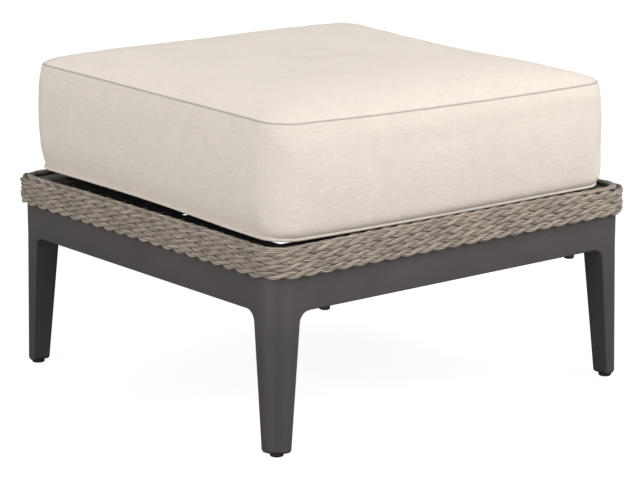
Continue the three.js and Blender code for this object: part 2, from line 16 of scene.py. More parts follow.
import bmesh
import bpy
import numpy as np
from mathutils import Matrix, Vector, kdtree

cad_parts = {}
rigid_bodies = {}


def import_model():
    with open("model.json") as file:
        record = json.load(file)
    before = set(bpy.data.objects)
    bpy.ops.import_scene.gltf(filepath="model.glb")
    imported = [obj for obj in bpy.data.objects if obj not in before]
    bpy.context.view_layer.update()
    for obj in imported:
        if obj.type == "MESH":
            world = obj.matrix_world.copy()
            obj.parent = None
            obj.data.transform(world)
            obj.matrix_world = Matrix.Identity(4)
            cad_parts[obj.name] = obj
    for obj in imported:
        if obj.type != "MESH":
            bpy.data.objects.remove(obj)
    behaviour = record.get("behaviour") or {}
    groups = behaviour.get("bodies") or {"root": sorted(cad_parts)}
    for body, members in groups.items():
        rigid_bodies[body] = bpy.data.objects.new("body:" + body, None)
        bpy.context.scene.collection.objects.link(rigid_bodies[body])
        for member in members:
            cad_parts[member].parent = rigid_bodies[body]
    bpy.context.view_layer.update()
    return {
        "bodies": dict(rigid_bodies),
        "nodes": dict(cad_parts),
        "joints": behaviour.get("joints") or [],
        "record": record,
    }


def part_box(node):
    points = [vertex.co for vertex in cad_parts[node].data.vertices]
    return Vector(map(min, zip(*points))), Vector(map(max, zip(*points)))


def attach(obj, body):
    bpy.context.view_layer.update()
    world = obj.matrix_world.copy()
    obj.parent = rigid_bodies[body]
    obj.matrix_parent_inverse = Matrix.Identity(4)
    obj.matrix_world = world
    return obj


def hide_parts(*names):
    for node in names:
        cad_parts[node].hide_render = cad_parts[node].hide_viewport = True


MM = 0.001
QUARTER = math.pi / 2
DIAGONAL = math.sqrt(0.5)
NOISE_RANGE = (0.3, 0.7)
SEAT_GAP = 0.3 * MM
LOG = logging.getLogger("ottoman")

Socket = bpy.types.NodeSocket
Ring = list[Vector]
Colour = tuple[float, float, float, float]


class Body(Enum):
    """The moving bodies that pieces ride on."""

    BASE = "base"
    CUSHION = "cushion"
    SLIDER = "zip_slider"


class Slot(Enum):
    """The finishes that the record names."""

    FRAME_COAT = "frame_coat"
    SEAT_COAT = "seat_frame_coat"
    PLASTIC = "black_plastic"
    GLIDE = "glide_plastic"
    ZINC = "dark_zinc"
    WEBBING = "webbing"
    ROPE = "rope"
    LINEN = "linen_cover"
    TAPE = "zip_tape"
    ZIP_METAL = "zip_metal"


class Place(Enum):
    """A place round the frame: its part of a piece's name and the signs of its X and Y."""

    @property
    def label(self) -> str:
        """Its part of a piece's name."""
        return self.value[0]

    @property
    def signs(self) -> tuple[int, int]:
        """The signs of its X and Y."""
        return self.value[1:]

    @property
    def heading(self) -> float:
        """The way inwards from it, as an angle."""
        x, y = self.signs
        return math.atan2(-y, -x)

    @property
    def turn(self) -> float:
        """The turn about Z from the first place of its kind to this one."""
        return self.heading - next(iter(type(self))).heading


class Corner(Place):
    """The four corners."""

    FRONT_LEFT = ("front_left", -1, -1)
    FRONT_RIGHT = ("front_right", 1, -1)
    BACK_RIGHT = ("back_right", 1, 1)
    BACK_LEFT = ("back_left", -1, 1)


class Side(Place):
    """The four sides, with the direction that each faces."""

    FRONT = ("front", 0, -1)
    RIGHT = ("right", 1, 0)
    BACK = ("back", 0, 1)
    LEFT = ("left", -1, 0)


def linear(red: float, green: float, blue: float) -> Colour:
    """A display colour of 0 to 255 as a linear colour with alpha.

    Args:
        red: The display red.
        green: The display green.
        blue: The display blue.

    Returns:
        The linear colour.
    """
    values = [channel / 255 for channel in (red, green, blue)]
    low, slope, offset, power = 0.04045, 12.92, 0.055, 2.4
    out = [v / slope if v <= low else ((v + offset) / (1 + offset)) ** power for v in values]
    return out[0], out[1], out[2], 1.0


def mm(*values: float) -> tuple[float, ...]:
    """Millimetres in metres."""
    return tuple(value * MM for value in values)


def blend(low: float, high: float, share: float) -> float:
    """The value at a share of the way from low to high."""
    return low + (high - low) * share


def smooth(share: float) -> float:
    """A share of 0 to 1 that starts and stops gently."""
    held = min(max(share, 0.0), 1.0)
    return held * held * (3 - 2 * held)


# Shader graphs


class Graph:
    """Adds and links the nodes of one tree."""

    def __init__(self, tree: bpy.types.NodeTree) -> None:
        """Work on this tree."""
        self.tree = tree

    def own(self, kind: str) -> bpy.types.Node:
        """The node of a type that the tree came with."""
        return next(node for node in self.tree.nodes if node.type == kind)

    def add(self, kind: str, inputs: dict[Any, Any] | None = None, **settings: Any) -> bpy.types.Node:
        """Add a node.

        Args:
            kind: The node's type.
            inputs: Values or sockets for its inputs, by name or number.
            settings: Its properties.

        Returns:
            The node.
        """
        node = self.tree.nodes.new(kind)
        for name, value in settings.items():
            setattr(node, name, value)
        for name, value in (inputs or {}).items():
            self.feed(node.inputs[name], value)
        return node

    def feed(self, target: Socket, value: Any) -> None:
        """Link a socket to an input, or set its value.

        Args:
            target: The input.
            value: The socket or the value.
        """
        if isinstance(value, bpy.types.NodeSocket):
            self.tree.links.new(value, target)
        else:
            target.default_value = value

    def sum(self, operation: str, *values: Any) -> Socket:
        """The result of a Math node."""
        return self.add("ShaderNodeMath", dict(enumerate(values)), operation=operation).outputs[0]

    def mix(self, share: Any, first: Any, second: Any) -> Socket:
        """Two colours mixed by the second's share."""
        node = self.add("ShaderNodeMix", {"Factor": share, "A": first, "B": second}, data_type="RGBA")
        return next(socket for socket in node.outputs if socket.type == "RGBA")

    def spread(
        self, value: Any, low: float, high: float, to_low: float = 0.0, to_high: float = 1.0
    ) -> Socket:
        """A value carried from one range to another, and held there."""
        ranges = {"Value": value, "From Min": low, "From Max": high, "To Min": to_low, "To Max": to_high}
        return self.add("ShaderNodeMapRange", ranges, clamp=True).outputs[0]

    def noise(
        self, place: Any, scale: Any, detail: float = 2.0, stretch: Sequence[float] = (1, 1, 1)
    ) -> Socket:
        """Noise in places that are stretched first."""
        place = self.add("ShaderNodeMapping", {"Vector": place, "Scale": stretch}).outputs[0]
        return self.add("ShaderNodeTexNoise", {"Vector": place, "Scale": scale, "Detail": detail}).outputs[0]

    def object_place(self) -> Socket:
        """The Object coordinates."""
        return self.add("ShaderNodeTexCoord").outputs["Object"]

    def attribute(self, name: str, output: str = "Fac") -> Socket:
        """An attribute of the piece."""
        return self.add("ShaderNodeAttribute", attribute_name=name).outputs[output]

    def camera_ray(self) -> Socket:
        """Whether the camera sees the point itself."""
        return self.add("ShaderNodeLightPath").outputs["Is Camera Ray"]


def new_group(
    name: str, inputs: dict[str, tuple[str, Any]], outputs: dict[str, str]
) -> tuple[Graph, Any, Any]:
    """Make a shader node group.

    Args:
        name: The group's name.
        inputs: The type and default of each input.
        outputs: The type of each output.

    Returns:
        The group's graph, its input node and its output node.
    """
    tree = bpy.data.node_groups.new(name, "ShaderNodeTree")
    for label, (kind, value) in inputs.items():
        socket = tree.interface.new_socket(name=label, in_out="INPUT", socket_type="NodeSocket" + kind)
        socket.default_value = value
    for label, kind in outputs.items():
        tree.interface.new_socket(name=label, in_out="OUTPUT", socket_type="NodeSocket" + kind)
    graph = Graph(tree)
    return graph, graph.add("NodeGroupInput"), graph.add("NodeGroupOutput")


class Effects:
    """The effects that several finishes share, each built once."""

    def __init__(self) -> None:
        """Build the groups."""
        self.grain = self._grain()
        self.dust = self._dust()
        self.threads = self._threads()

    @staticmethod
    def _grain() -> bpy.types.NodeTree:
        """Fine grain over broad mottling, as on a coated or moulded face.

        Returns:
            The group.
        """
        fine_detail, broad_detail = 1.0, 4.0
        graph, given, out = new_group(
            "fine_grain",
            {"Fine": ("Float", 1800.0), "Broad": ("Float", 14.0)},
            {"Height": "Float", "Mottle": "Float"},
        )
        place = graph.object_place()
        graph.feed(out.inputs["Height"], graph.noise(place, given.outputs["Fine"], fine_detail))
        graph.feed(out.inputs["Mottle"], graph.noise(place, given.outputs["Broad"], broad_detail))
        return graph.tree

    @staticmethod
    def _dust() -> bpy.types.NodeTree:
        """Dust that lies on faces that look up, in a patchy film.

        Returns:
            The group.
        """
        scale, detail, thinnest, steepest = 45.0, 3.0, 0.3, 0.2
        graph, given, out = new_group(
            "settled_dust",
            {
                "Color": ("Color", (0.5, 0.5, 0.5, 1)),
                "Dust": ("Color", (0.5, 0.45, 0.4, 1)),
                "Amount": ("Float", 0.2),
            },
            {"Color": "Color", "Mask": "Float"},
        )
        normal = graph.add("ShaderNodeNewGeometry").outputs["Normal"]
        up = graph.add("ShaderNodeSeparateXYZ", {0: normal}).outputs["Z"]
        patches = graph.spread(graph.noise(graph.object_place(), scale, detail), *NOISE_RANGE, thinnest)
        mask = graph.sum("MULTIPLY", graph.spread(up, steepest, 1.0), patches)
        mask = graph.sum("MULTIPLY", mask, given.outputs["Amount"])
        graph.feed(out.inputs["Color"], graph.mix(mask, given.outputs["Color"], given.outputs["Dust"]))
        graph.feed(out.inputs["Mask"], mask)
        return graph.tree

    @staticmethod
    def _threads() -> bpy.types.NodeTree:
        """Warp and weft threads over and under each other, with thick and thin places along them.

        Returns:
            The group.
        """
        run, across, patch = 46, 680, 260
        weft_range, warp_range = (0.06, 0.2), (0.1, 0.26)
        lower_share, slub_share, broken_range = 0.4, 0.8, (0.35, 0.65)
        graph, given, out = new_group(
            "woven_threads",
            {"Place": ("Vector", (0, 0, 0)), "Pitch": ("Float", 0.001), "Slub": ("Float", 0.5)},
            {"Height": "Float", "Slubs": "Float", "Gaps": "Float"},
        )
        place, pitch = given.outputs["Place"], given.outputs["Pitch"]
        parts = graph.add("ShaderNodeSeparateXYZ", {0: place})
        along, up = (graph.sum("DIVIDE", parts.outputs[axis], pitch) for axis in ("X", "Y"))
        warp, weft = (
            graph.sum("ABSOLUTE", graph.sum("SINE", graph.sum("MULTIPLY", turns, math.pi)))
            for turns in (along, up)
        )
        cell = graph.sum("ADD", graph.sum("FLOOR", along), graph.sum("FLOOR", up))
        odd = graph.sum("GREATER_THAN", graph.sum("FLOORED_MODULO", cell, 2.0), 0.5)
        upper = graph.add("ShaderNodeMix", {"Factor": odd, "A": warp, "B": weft}).outputs[0]
        lower = graph.add("ShaderNodeMix", {"Factor": odd, "A": weft, "B": warp}).outputs[0]
        height = graph.sum("MULTIPLY_ADD", lower, lower_share, upper)
        broken = graph.spread(graph.noise(place, 1.0, 1.0, (patch, patch, 1)), *broken_range)
        weft_slubs = graph.noise(place, 1.0, stretch=(run, across, 1))
        warp_slubs = graph.noise(place, 1.0, stretch=(across, run, 1))
        thick, thin = (
            graph.sum(
                "ADD",
                graph.spread(weft_slubs, 0.5 + way * weft_range[0], 0.5 + way * weft_range[1]),
                graph.spread(warp_slubs, 0.5 + way * warp_range[0], 0.5 + way * warp_range[1]),
            )
            for way in (1, -1)
        )
        slubs = graph.sum("MULTIPLY", graph.sum("SUBTRACT", thick, thin), given.outputs["Slub"])
        graph.feed(out.inputs["Height"], graph.sum("MULTIPLY_ADD", slubs, slub_share, height))
        graph.feed(out.inputs["Slubs"], graph.sum("MULTIPLY", slubs, broken))
        graph.feed(out.inputs["Gaps"], graph.sum("MULTIPLY", warp, weft))
        return graph.tree


@dataclass(frozen=True)
class Finish:
    """A material of one colour family. Its kinds add their own grain or weave."""

    name: str
    shade: tuple[float, float, float]
    roughness: float = 0.6
    metallic: float = 0.0
    sheen: float = 0.0
    specular: float = 0.5

    def material(self, effects: Effects) -> bpy.types.Material:
        """Build the material.

        Args:
            effects: The shared groups.

        Returns:
            The material.
        """
        made = bpy.data.materials.new(self.name)
        made.use_nodes = True
        made.diffuse_color = linear(*self.shade)
        graph = Graph(made.node_tree)
        shader = graph.own("BSDF_PRINCIPLED")
        for socket, value in (
            ("Base Color", linear(*self.shade)),
            ("Roughness", self.roughness),
            ("Metallic", self.metallic),
            ("Sheen Weight", self.sheen),
            ("Specular IOR Level", self.specular),
        ):
            shader.inputs[socket].default_value = value
        self.dress(graph, shader, effects)
        return made

    def dress(self, graph: Graph, shader: bpy.types.Node, effects: Effects) -> None:
        """Add what the plain colour lacks."""

    def tone(self, factor: float) -> Colour:
        """The finish's colour, made lighter or darker by a factor."""
        red, green, blue, _ = linear(*self.shade)
        return min(red * factor, 1.0), min(green * factor, 1.0), min(blue * factor, 1.0), 1.0

    @staticmethod
    def bump(
        graph: Graph, shader: bpy.types.Node, height: Socket, depth: float, strength: float = 1.0
    ) -> None:
        """Feed a height to the shader's normal."""
        node = graph.add("ShaderNodeBump", {"Height": height, "Distance": depth, "Strength": strength})
        graph.feed(shader.inputs["Normal"], node.outputs[0])


@dataclass(frozen=True)
class Grained(Finish):
    """Powder coat, moulded plastic or plated metal: a grain, a mottled gloss and a little dust."""

    fine: float = 1800.0
    depth: float = 0.06 * MM
    mottle: float = 0.06
    dust: float = 0.15
    dust_shade: tuple[float, float, float] = (150, 142, 134)
    dust_roughness: float = 0.3
    # Painted shade lower down on the legs: its tone, and the levels that it runs between.
    low_shade_tone: float = 1.0
    low_from: float = 225 * MM
    low_to: float = 150 * MM

    def dress(self, graph: Graph, shader: bpy.types.Node, effects: Effects) -> None:
        """Add the grain, the mottled gloss, painted shade that darkens the legs lower down, and the dust.

        Args:
            graph: The material's graph.
            shader: Its shader.
            effects: The shared groups.
        """
        grain = graph.add("ShaderNodeGroup", {"Fine": self.fine}, node_tree=effects.grain)
        mottle = grain.outputs["Mottle"]
        share = graph.spread(mottle, *NOISE_RANGE)
        colour = graph.mix(share, self.tone(1 - self.mottle), self.tone(1 + self.mottle))
        # Painted shade: the coat is darkened towards the floor, between the two low levels.
        if self.low_shade_tone < 1.0:
            level = graph.add("ShaderNodeSeparateXYZ", {0: graph.object_place()}).outputs["Z"]
            height = graph.spread(level, self.low_to, self.low_from)
            colour = graph.mix(height, self.tone(self.low_shade_tone), colour)
        dust = graph.add(
            "ShaderNodeGroup",
            {"Color": colour, "Dust": linear(*self.dust_shade), "Amount": self.dust},
            node_tree=effects.dust,
        )
        graph.feed(shader.inputs["Base Color"], dust.outputs["Color"])
        low, high = self.roughness - self.mottle, self.roughness + self.mottle
        gloss = graph.spread(mottle, *NOISE_RANGE, low, high)
        dulled = graph.sum("MULTIPLY_ADD", dust.outputs["Mask"], self.dust_roughness, gloss)
        graph.feed(shader.inputs["Roughness"], dulled)
        self.bump(graph, shader, grain.outputs["Height"], self.depth)


@dataclass(frozen=True)
class Woven(Finish):
    """Cloth of crossing threads, laid on the piece's own UV map in metres."""

    specular: float = 0.2
    pitch: float = 1.1 * MM
    slub: float = 0.5
    depth: float = 0.25 * MM
    relief: float = 0.6
    mottle_scale: float = 22.0
    mottle_detail: float = 3.0
    fleck: float = 0.05
    fleck_gain: float = 15.0
    light_tone: float = 1.12
    dark_tone: float = 0.84
    gap_width: float = 0.35
    gap_tone: float = 0.8
    # How strongly the seams' creases get painted shade, and the tone that it darkens to.
    crease: float = 0.0
    crease_tone: float = 0.35

    def dress(self, graph: Graph, shader: bpy.types.Node, effects: Effects) -> None:
        """Add the threads, the slubs, the soft mottling and the shade in the seams' creases.

        Args:
            graph: The material's graph.
            shader: Its shader.
            effects: The shared groups.
        """
        place = graph.add("ShaderNodeUVMap", uv_map="cloth").outputs[0]
        given = {"Place": place, "Pitch": self.pitch, "Slub": self.slub}
        woven = graph.add("ShaderNodeGroup", given, node_tree=effects.threads)
        mottle = graph.noise(graph.object_place(), self.mottle_scale, self.mottle_detail)
        share = graph.spread(mottle, *NOISE_RANGE)
        colour = graph.mix(share, self.tone(1 - self.fleck / 2), self.tone(1 + self.fleck / 4))
        gaps = graph.spread(woven.outputs["Gaps"], 0.0, self.gap_width, 1.0, 0.0)
        colour = graph.mix(gaps, colour, self.tone(self.gap_tone))
        for end, tone in ((1.0, self.light_tone), (-1.0, self.dark_tone)):
            slubs = graph.spread(woven.outputs["Slubs"], 0.0, end)
            share = graph.sum("MULTIPLY", slubs, self.fleck * self.fleck_gain)
            colour = graph.mix(share, colour, self.tone(tone))
        # Painted shade: the cloth is darkened towards a dark tone along the seams' creases.
        if self.crease:
            seam = graph.sum("MULTIPLY", graph.attribute("crease"), self.crease)
            colour = graph.mix(seam, colour, self.tone(self.crease_tone))
        graph.feed(shader.inputs["Base Color"], colour)
        self.bump(graph, shader, woven.outputs["Height"], self.depth, self.relief)


@dataclass(frozen=True)
class Fibrous(Finish):
    """Twisted outdoor cord: each thin cord has its own tone, with fibres along it."""

    sheen: float = 0.1
    specular: float = 0.25
    spread: float = 0.42
    depth: float = 0.3 * MM
    relief: float = 0.7
    streak_stretch: tuple[float, ...] = (90, 800, 800)
    fibre_stretch: tuple[float, ...] = (380, 3000, 3000)
    break_stretch: tuple[float, ...] = (110, 260, 260)
    break_range: tuple[float, ...] = (0.38, 0.6, 0.4, 1.0)
    sun_scale: float = 16.0
    sun_detail: float = 3.0
    cord_share: float = 0.4
    streak_share: float = 1.1
    sun_share: float = 0.2
    fibre_share: float = 0.5
    streak_relief: float = 0.5
    tone_range: tuple[float, ...] = (0.75, 1.45)
    # Painted shade: the tones that the grooves between cords and the recesses between strands are darkened
    # towards, and how the recess shade grows.
    valley_shade_tone: float = 0.18
    recess_power: float = 1.6
    recess_shade_share: float = 0.55
    recess_shade_tone: float = 0.1

    def dress(self, graph: Graph, shader: bpy.types.Node, effects: Effects) -> None:
        """Add the cords' tones, the streaks along them, the fibres and the shade between them.

        Args:
            graph: The material's graph.
            shader: Its shader.
            effects: The shared groups.
        """
        place = graph.attribute("yarn_place", "Vector")
        streaks = graph.noise(place, 1.0, stretch=self.streak_stretch)
        fibres = graph.noise(place, 1.0, stretch=self.fibre_stretch)
        sun = graph.noise(graph.object_place(), self.sun_scale, self.sun_detail)
        mixed = graph.sum("MULTIPLY", graph.attribute("cord_tone"), self.cord_share)
        for part, share in (
            (streaks, self.streak_share),
            (sun, self.sun_share),
            (fibres, self.fibre_share),
        ):
            mixed = graph.sum("MULTIPLY_ADD", part, share, mixed)
        toned = graph.spread(mixed, *self.tone_range)
        colour = graph.mix(toned, self.tone(1 - self.spread), self.tone(1 + self.spread))
        # Painted shade: the grooves between the thin cords are darkened towards a dark tone of the rope,
        # broken up along the cords.
        broken = graph.spread(graph.noise(place, 1.0, 1.0, self.break_stretch), *self.break_range)
        valley = graph.sum("MULTIPLY", graph.attribute("cord_valley_shade"), broken)
        colour = graph.mix(valley, colour, self.tone(self.valley_shade_tone))
        # Painted shade: the colour is darkened deep in the hollows between the strands.
        recess = graph.sum("POWER", graph.attribute("strand_recess_shade"), self.recess_power)
        deep = graph.sum("MULTIPLY", recess, self.recess_shade_share)
        colour = graph.mix(deep, colour, self.tone(self.recess_shade_tone))
        graph.feed(shader.inputs["Base Color"], colour)
        height = graph.sum("MULTIPLY_ADD", streaks, self.streak_relief, fibres)
        self.bump(graph, shader, height, self.depth, self.relief)


class Palette:
    """Every finish of the ottoman."""

    def __init__(self) -> None:
        """Build the materials."""
        effects = Effects()
        finishes = {
            Slot.FRAME_COAT: Grained(
                "frame_powder_coat", (75, 71, 70), 0.5, fine=2400, dust=0.05, low_shade_tone=0.78
            ),
            Slot.SEAT_COAT: Grained("seat_frame_black_coat", (22, 21, 20), 0.55, dust=0.08),
            Slot.PLASTIC: Grained("black_nylon_plug", (24, 23, 23), 0.5, fine=1400, dust=0.1),
            Slot.GLIDE: Grained("black_glide_plastic", (20, 19, 19), 0.55, fine=1200, dust=0.12),
            Slot.ZINC: Grained("dark_zinc_plate", (74, 72, 71), 0.42, 0.85, fine=3000, mottle=0.12),
            Slot.WEBBING: Woven(
                "black_webbing_weave", (30, 29, 28), 0.85, pitch=2.2 * MM, slub=0.15, depth=0.5 * MM
            ),
            Slot.ROPE: Fibrous("taupe_rope_fibre", (167, 155, 142), 0.88),
            Slot.LINEN: Woven(
                "linen_cover_weave", (232, 222, 211), 0.94, sheen=0.05, slub=1.0, fleck=0.06, crease=0.85
            ),
            Slot.TAPE: Woven(
                "zip_tape_weave", (222, 214, 203), 0.9, pitch=0.8 * MM, slub=0.1, depth=0.2 * MM
            ),
            Slot.ZIP_METAL: Grained("zip_slider_metal", (150, 147, 142), 0.35, 0.9, fine=2600, dust=0.02),
        }
        self.materials = {slot: finish.material(effects) for slot, finish in finishes.items()}

    def __getitem__(self, slot: Slot) -> bpy.types.Material:
        """The material of a slot."""
        return self.materials[slot]


# Mesh helpers


def edge_loop(bm: bmesh.types.BMesh, ring: Ring) -> tuple[list[Any], list[Any]]:
    """Lay a closed loop of vertices and edges.

    Args:
        bm: The mesh to add to.
        ring: The loop's points.

    Returns:
        The vertices and the edges.
    """
    verts = [bm.verts.new(point) for point in ring]
    edges = [bm.edges.new((verts[i - 1], verts[i])) for i in range(len(verts))]
    return verts, edges


def fresh_verts(grown: dict[str, Any]) -> list[Any]:
    """The vertices that an extrusion made."""
    return [part for part in grown["geom"] if isinstance(part, bmesh.types.BMVert)]


def loft(bm: bmesh.types.BMesh, rings: Sequence[Ring]) -> list[list[Any]]:
    """Skin through rings of equal count, each extruded from the one before, and close both ends.

    Args:
        bm: The mesh to add to.
        rings: The rings of points.

    Returns:
        The vertices of each ring.
    """
    verts, edges = edge_loop(bm, rings[0])
    made = [verts]
    bmesh.ops.contextual_create(bm, geom=edges)
    for ring in rings[1:]:
        fresh = set(fresh_verts(bmesh.ops.extrude_edge_only(bm, edges=edges)))
        above = {v: next(o for e in v.link_edges if (o := e.other_vert(v)) in fresh) for v in verts}
        verts = [above[v] for v in verts]
        for vert, point in zip(verts, ring):
            vert.co = point
        edges = [bm.edges.get((verts[i - 1], verts[i])) for i in range(len(verts))]
        made.append(verts)
    bmesh.ops.contextual_create(bm, geom=edges)
    return made


def raise_faces(bm: bmesh.types.BMesh, faces: list[Any], height: float) -> None:
    """Extrude faces up by a height and leave the first ones as the underside."""
    top = fresh_verts(bmesh.ops.extrude_face_region(bm, geom=faces, use_keep_orig=True))
    bmesh.ops.translate(bm, vec=(0, 0, height), verts=top)


def turn_round(bm: bmesh.types.BMesh, outline: list[Any], steps: int) -> None:
    """Spin an outline once round Z."""
    bmesh.ops.spin(
        bm, geom=outline, cent=(0, 0, 0), axis=(0, 0, 1), angle=2 * math.pi, steps=steps, use_merge=True
    )


def arc(
    centre: tuple[float, float], radius: float, start: float, end: float, steps: int
) -> list[tuple[float, float]]:
    """Points along an arc.

    Args:
        centre: Its centre.
        radius: Its radius.
        start: The angle it starts at.
        end: The angle it ends at.
        steps: How many steps it takes.

    Returns:
        The points, from start to end.
    """
    angles = [blend(start, end, i / steps) for i in range(steps + 1)]
    return [(centre[0] + radius * math.cos(a), centre[1] + radius * math.sin(a)) for a in angles]


def at_level(points: Iterable[tuple[float, float]], level: float) -> Ring:
    """Points of a plan at one level."""
    return [Vector((x, y, level)) for x, y in points]


def bevel(bm: bmesh.types.BMesh, edges: Iterable[Any], width: float, segments: int = 3) -> None:
    """Round the given edges."""
    bmesh.ops.bevel(
        bm, geom=list(edges), offset=width, segments=segments, profile=0.5, affect="EDGES", material=-1
    )


def edges_along(bm: bmesh.types.BMesh, axis: int) -> list[Any]:
    """The edges that run along an axis by a millimetre or more."""
    return [e for e in bm.edges if abs((e.verts[0].co - e.verts[1].co)[axis]) > MM]


def add_box(bm: bmesh.types.BMesh, low: Sequence[float], high: Sequence[float]) -> None:
    """Add a box between two corners.

    Args:
        bm: The mesh to add to.
        low: The corner with the least X, Y and Z.
        high: The corner with the most.
    """
    low, high = Vector(low), Vector(high)
    size = high - low
    place = Matrix.Translation((low + high) / 2) @ Matrix.Diagonal((size.x, size.y, size.z, 1.0))
    bmesh.ops.create_cube(bm, size=1.0, matrix=place)


def lay_cloth(bm: bmesh.types.BMesh, axes: tuple[int, int]) -> None:
    """Lay the weave flat on a piece.

    Args:
        bm: The piece's mesh.
        axes: The axes that the weft and the warp run along.
    """
    layer = bm.loops.layers.uv.new("cloth")
    for face in bm.faces:
        for loop in face.loops:
            loop[layer].uv = [loop.vert.co[axis] for axis in axes]


def placed(bm: bmesh.types.BMesh, matrix: Matrix) -> None:
    """Move the whole mesh by a matrix."""
    bmesh.ops.transform(bm, matrix=matrix, verts=bm.verts)


def linked(name: str, data: Any) -> bpy.types.Object:
    """Make an object and put it into the scene.

    Args:
        name: The object's name.
        data: Its mesh, curve, light or camera.

    Returns:
        The object.
    """
    made = bpy.data.objects.new(name, data)
    bpy.context.scene.collection.objects.link(made)
    return made


def laid_lines(
    name: str, lines: Iterable[np.ndarray], closed: bool = False, **settings: Any
) -> bpy.types.Object:
    """Lay lines as a curve.

    Args:
        name: The curve's name.
        lines: For each line, its points with their sizes and turns.
        closed: Whether each line ends where it starts.
        settings: The curve's properties.

    Returns:
        The curve's object.
    """
    curve = bpy.data.curves.new(name, "CURVE")
    for key, value in settings.items():
        setattr(curve, key, value)
    for line in lines:
        spline = curve.splines.new("POLY")
        spline.points.add(len(line) - 1)
        spline.points.foreach_set("co", np.column_stack([line[:, :3], np.ones(len(line))]).ravel())
        spline.points.foreach_set("radius", line[:, 3].copy())
        spline.points.foreach_set("tilt", line[:, 4].copy())
        spline.use_cyclic_u = closed
    return linked(name, curve)


def evaluated(source: bpy.types.Object) -> bpy.types.Mesh:
    """A new mesh of an object as its modifiers or its curve's bevel make it."""
    graph = bpy.context.evaluated_depsgraph_get()
    return bpy.data.meshes.new_from_object(source.evaluated_get(graph))


def points_of(mesh: bpy.types.Mesh) -> np.ndarray:
    """A mesh's points.

    Args:
        mesh: The mesh.

    Returns:
        The points, one to a row.
    """
    flat = np.empty(len(mesh.vertices) * 3, np.float64)
    mesh.vertices.foreach_get("co", flat)
    return flat.reshape(-1, 3)


def tree_of(points: Sequence[Any]) -> kdtree.KDTree:
    """Make a search tree.

    Args:
        points: The points to find.

    Returns:
        The tree.
    """
    tree = kdtree.KDTree(len(points))
    for i, point in enumerate(points):
        tree.insert(point, i)
    tree.balance()
    return tree


def swept(holder: bpy.types.Object) -> bpy.types.Mesh:
    """Turn a curve into a mesh and remove the curve.

    Args:
        holder: The curve's object.

    Returns:
        The mesh.
    """
    mesh, curve = evaluated(holder), holder.data
    bpy.data.objects.remove(holder)
    bpy.data.curves.remove(curve)
    return mesh


@dataclass
class Workshop:
    """Turns meshes into finished pieces of the object."""

    palette: Palette
    sharp: float = math.radians(34)
    merge: float = 0.01 * MM

    def piece(
        self,
        name: str,
        source: bmesh.types.BMesh | bpy.types.Mesh,
        slot: Slot,
        replaced: Sequence[str] = (),
        body: str = Body.BASE.value,
        weighted: bool = False,
    ) -> bpy.types.Object:
        """Finish a mesh as a piece.

        Args:
            name: The piece's name.
            source: The mesh, or a bmesh that is used up.
            slot: The finish.
            replaced: The CAD nodes it stands for.
            body: The body it rides on.
            weighted: Whether flat faces keep their own normals beside rounded edges.

        Returns:
            The piece.
        """
        if isinstance(source, bmesh.types.BMesh):
            bmesh.ops.remove_doubles(source, verts=source.verts, dist=self.merge)
            bmesh.ops.recalc_face_normals(source, faces=source.faces)
            mesh = bpy.data.meshes.new(name)
            source.to_mesh(mesh)
            source.free()
        else:
            mesh = source
            mesh.name = name
        mesh.materials.clear()
        mesh.materials.append(self.palette[slot])
        mesh.shade_smooth()
        mesh.set_sharp_from_angle(angle=self.sharp)
        made = linked(name, mesh)
        if weighted:
            made.modifiers.new("flat_faces", "WEIGHTED_NORMAL").keep_sharp = True
        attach(made, body)
        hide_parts(*replaced)
        LOG.info("%s: %d faces on %s", name, len(mesh.polygons), body)
        return made


# The base frame


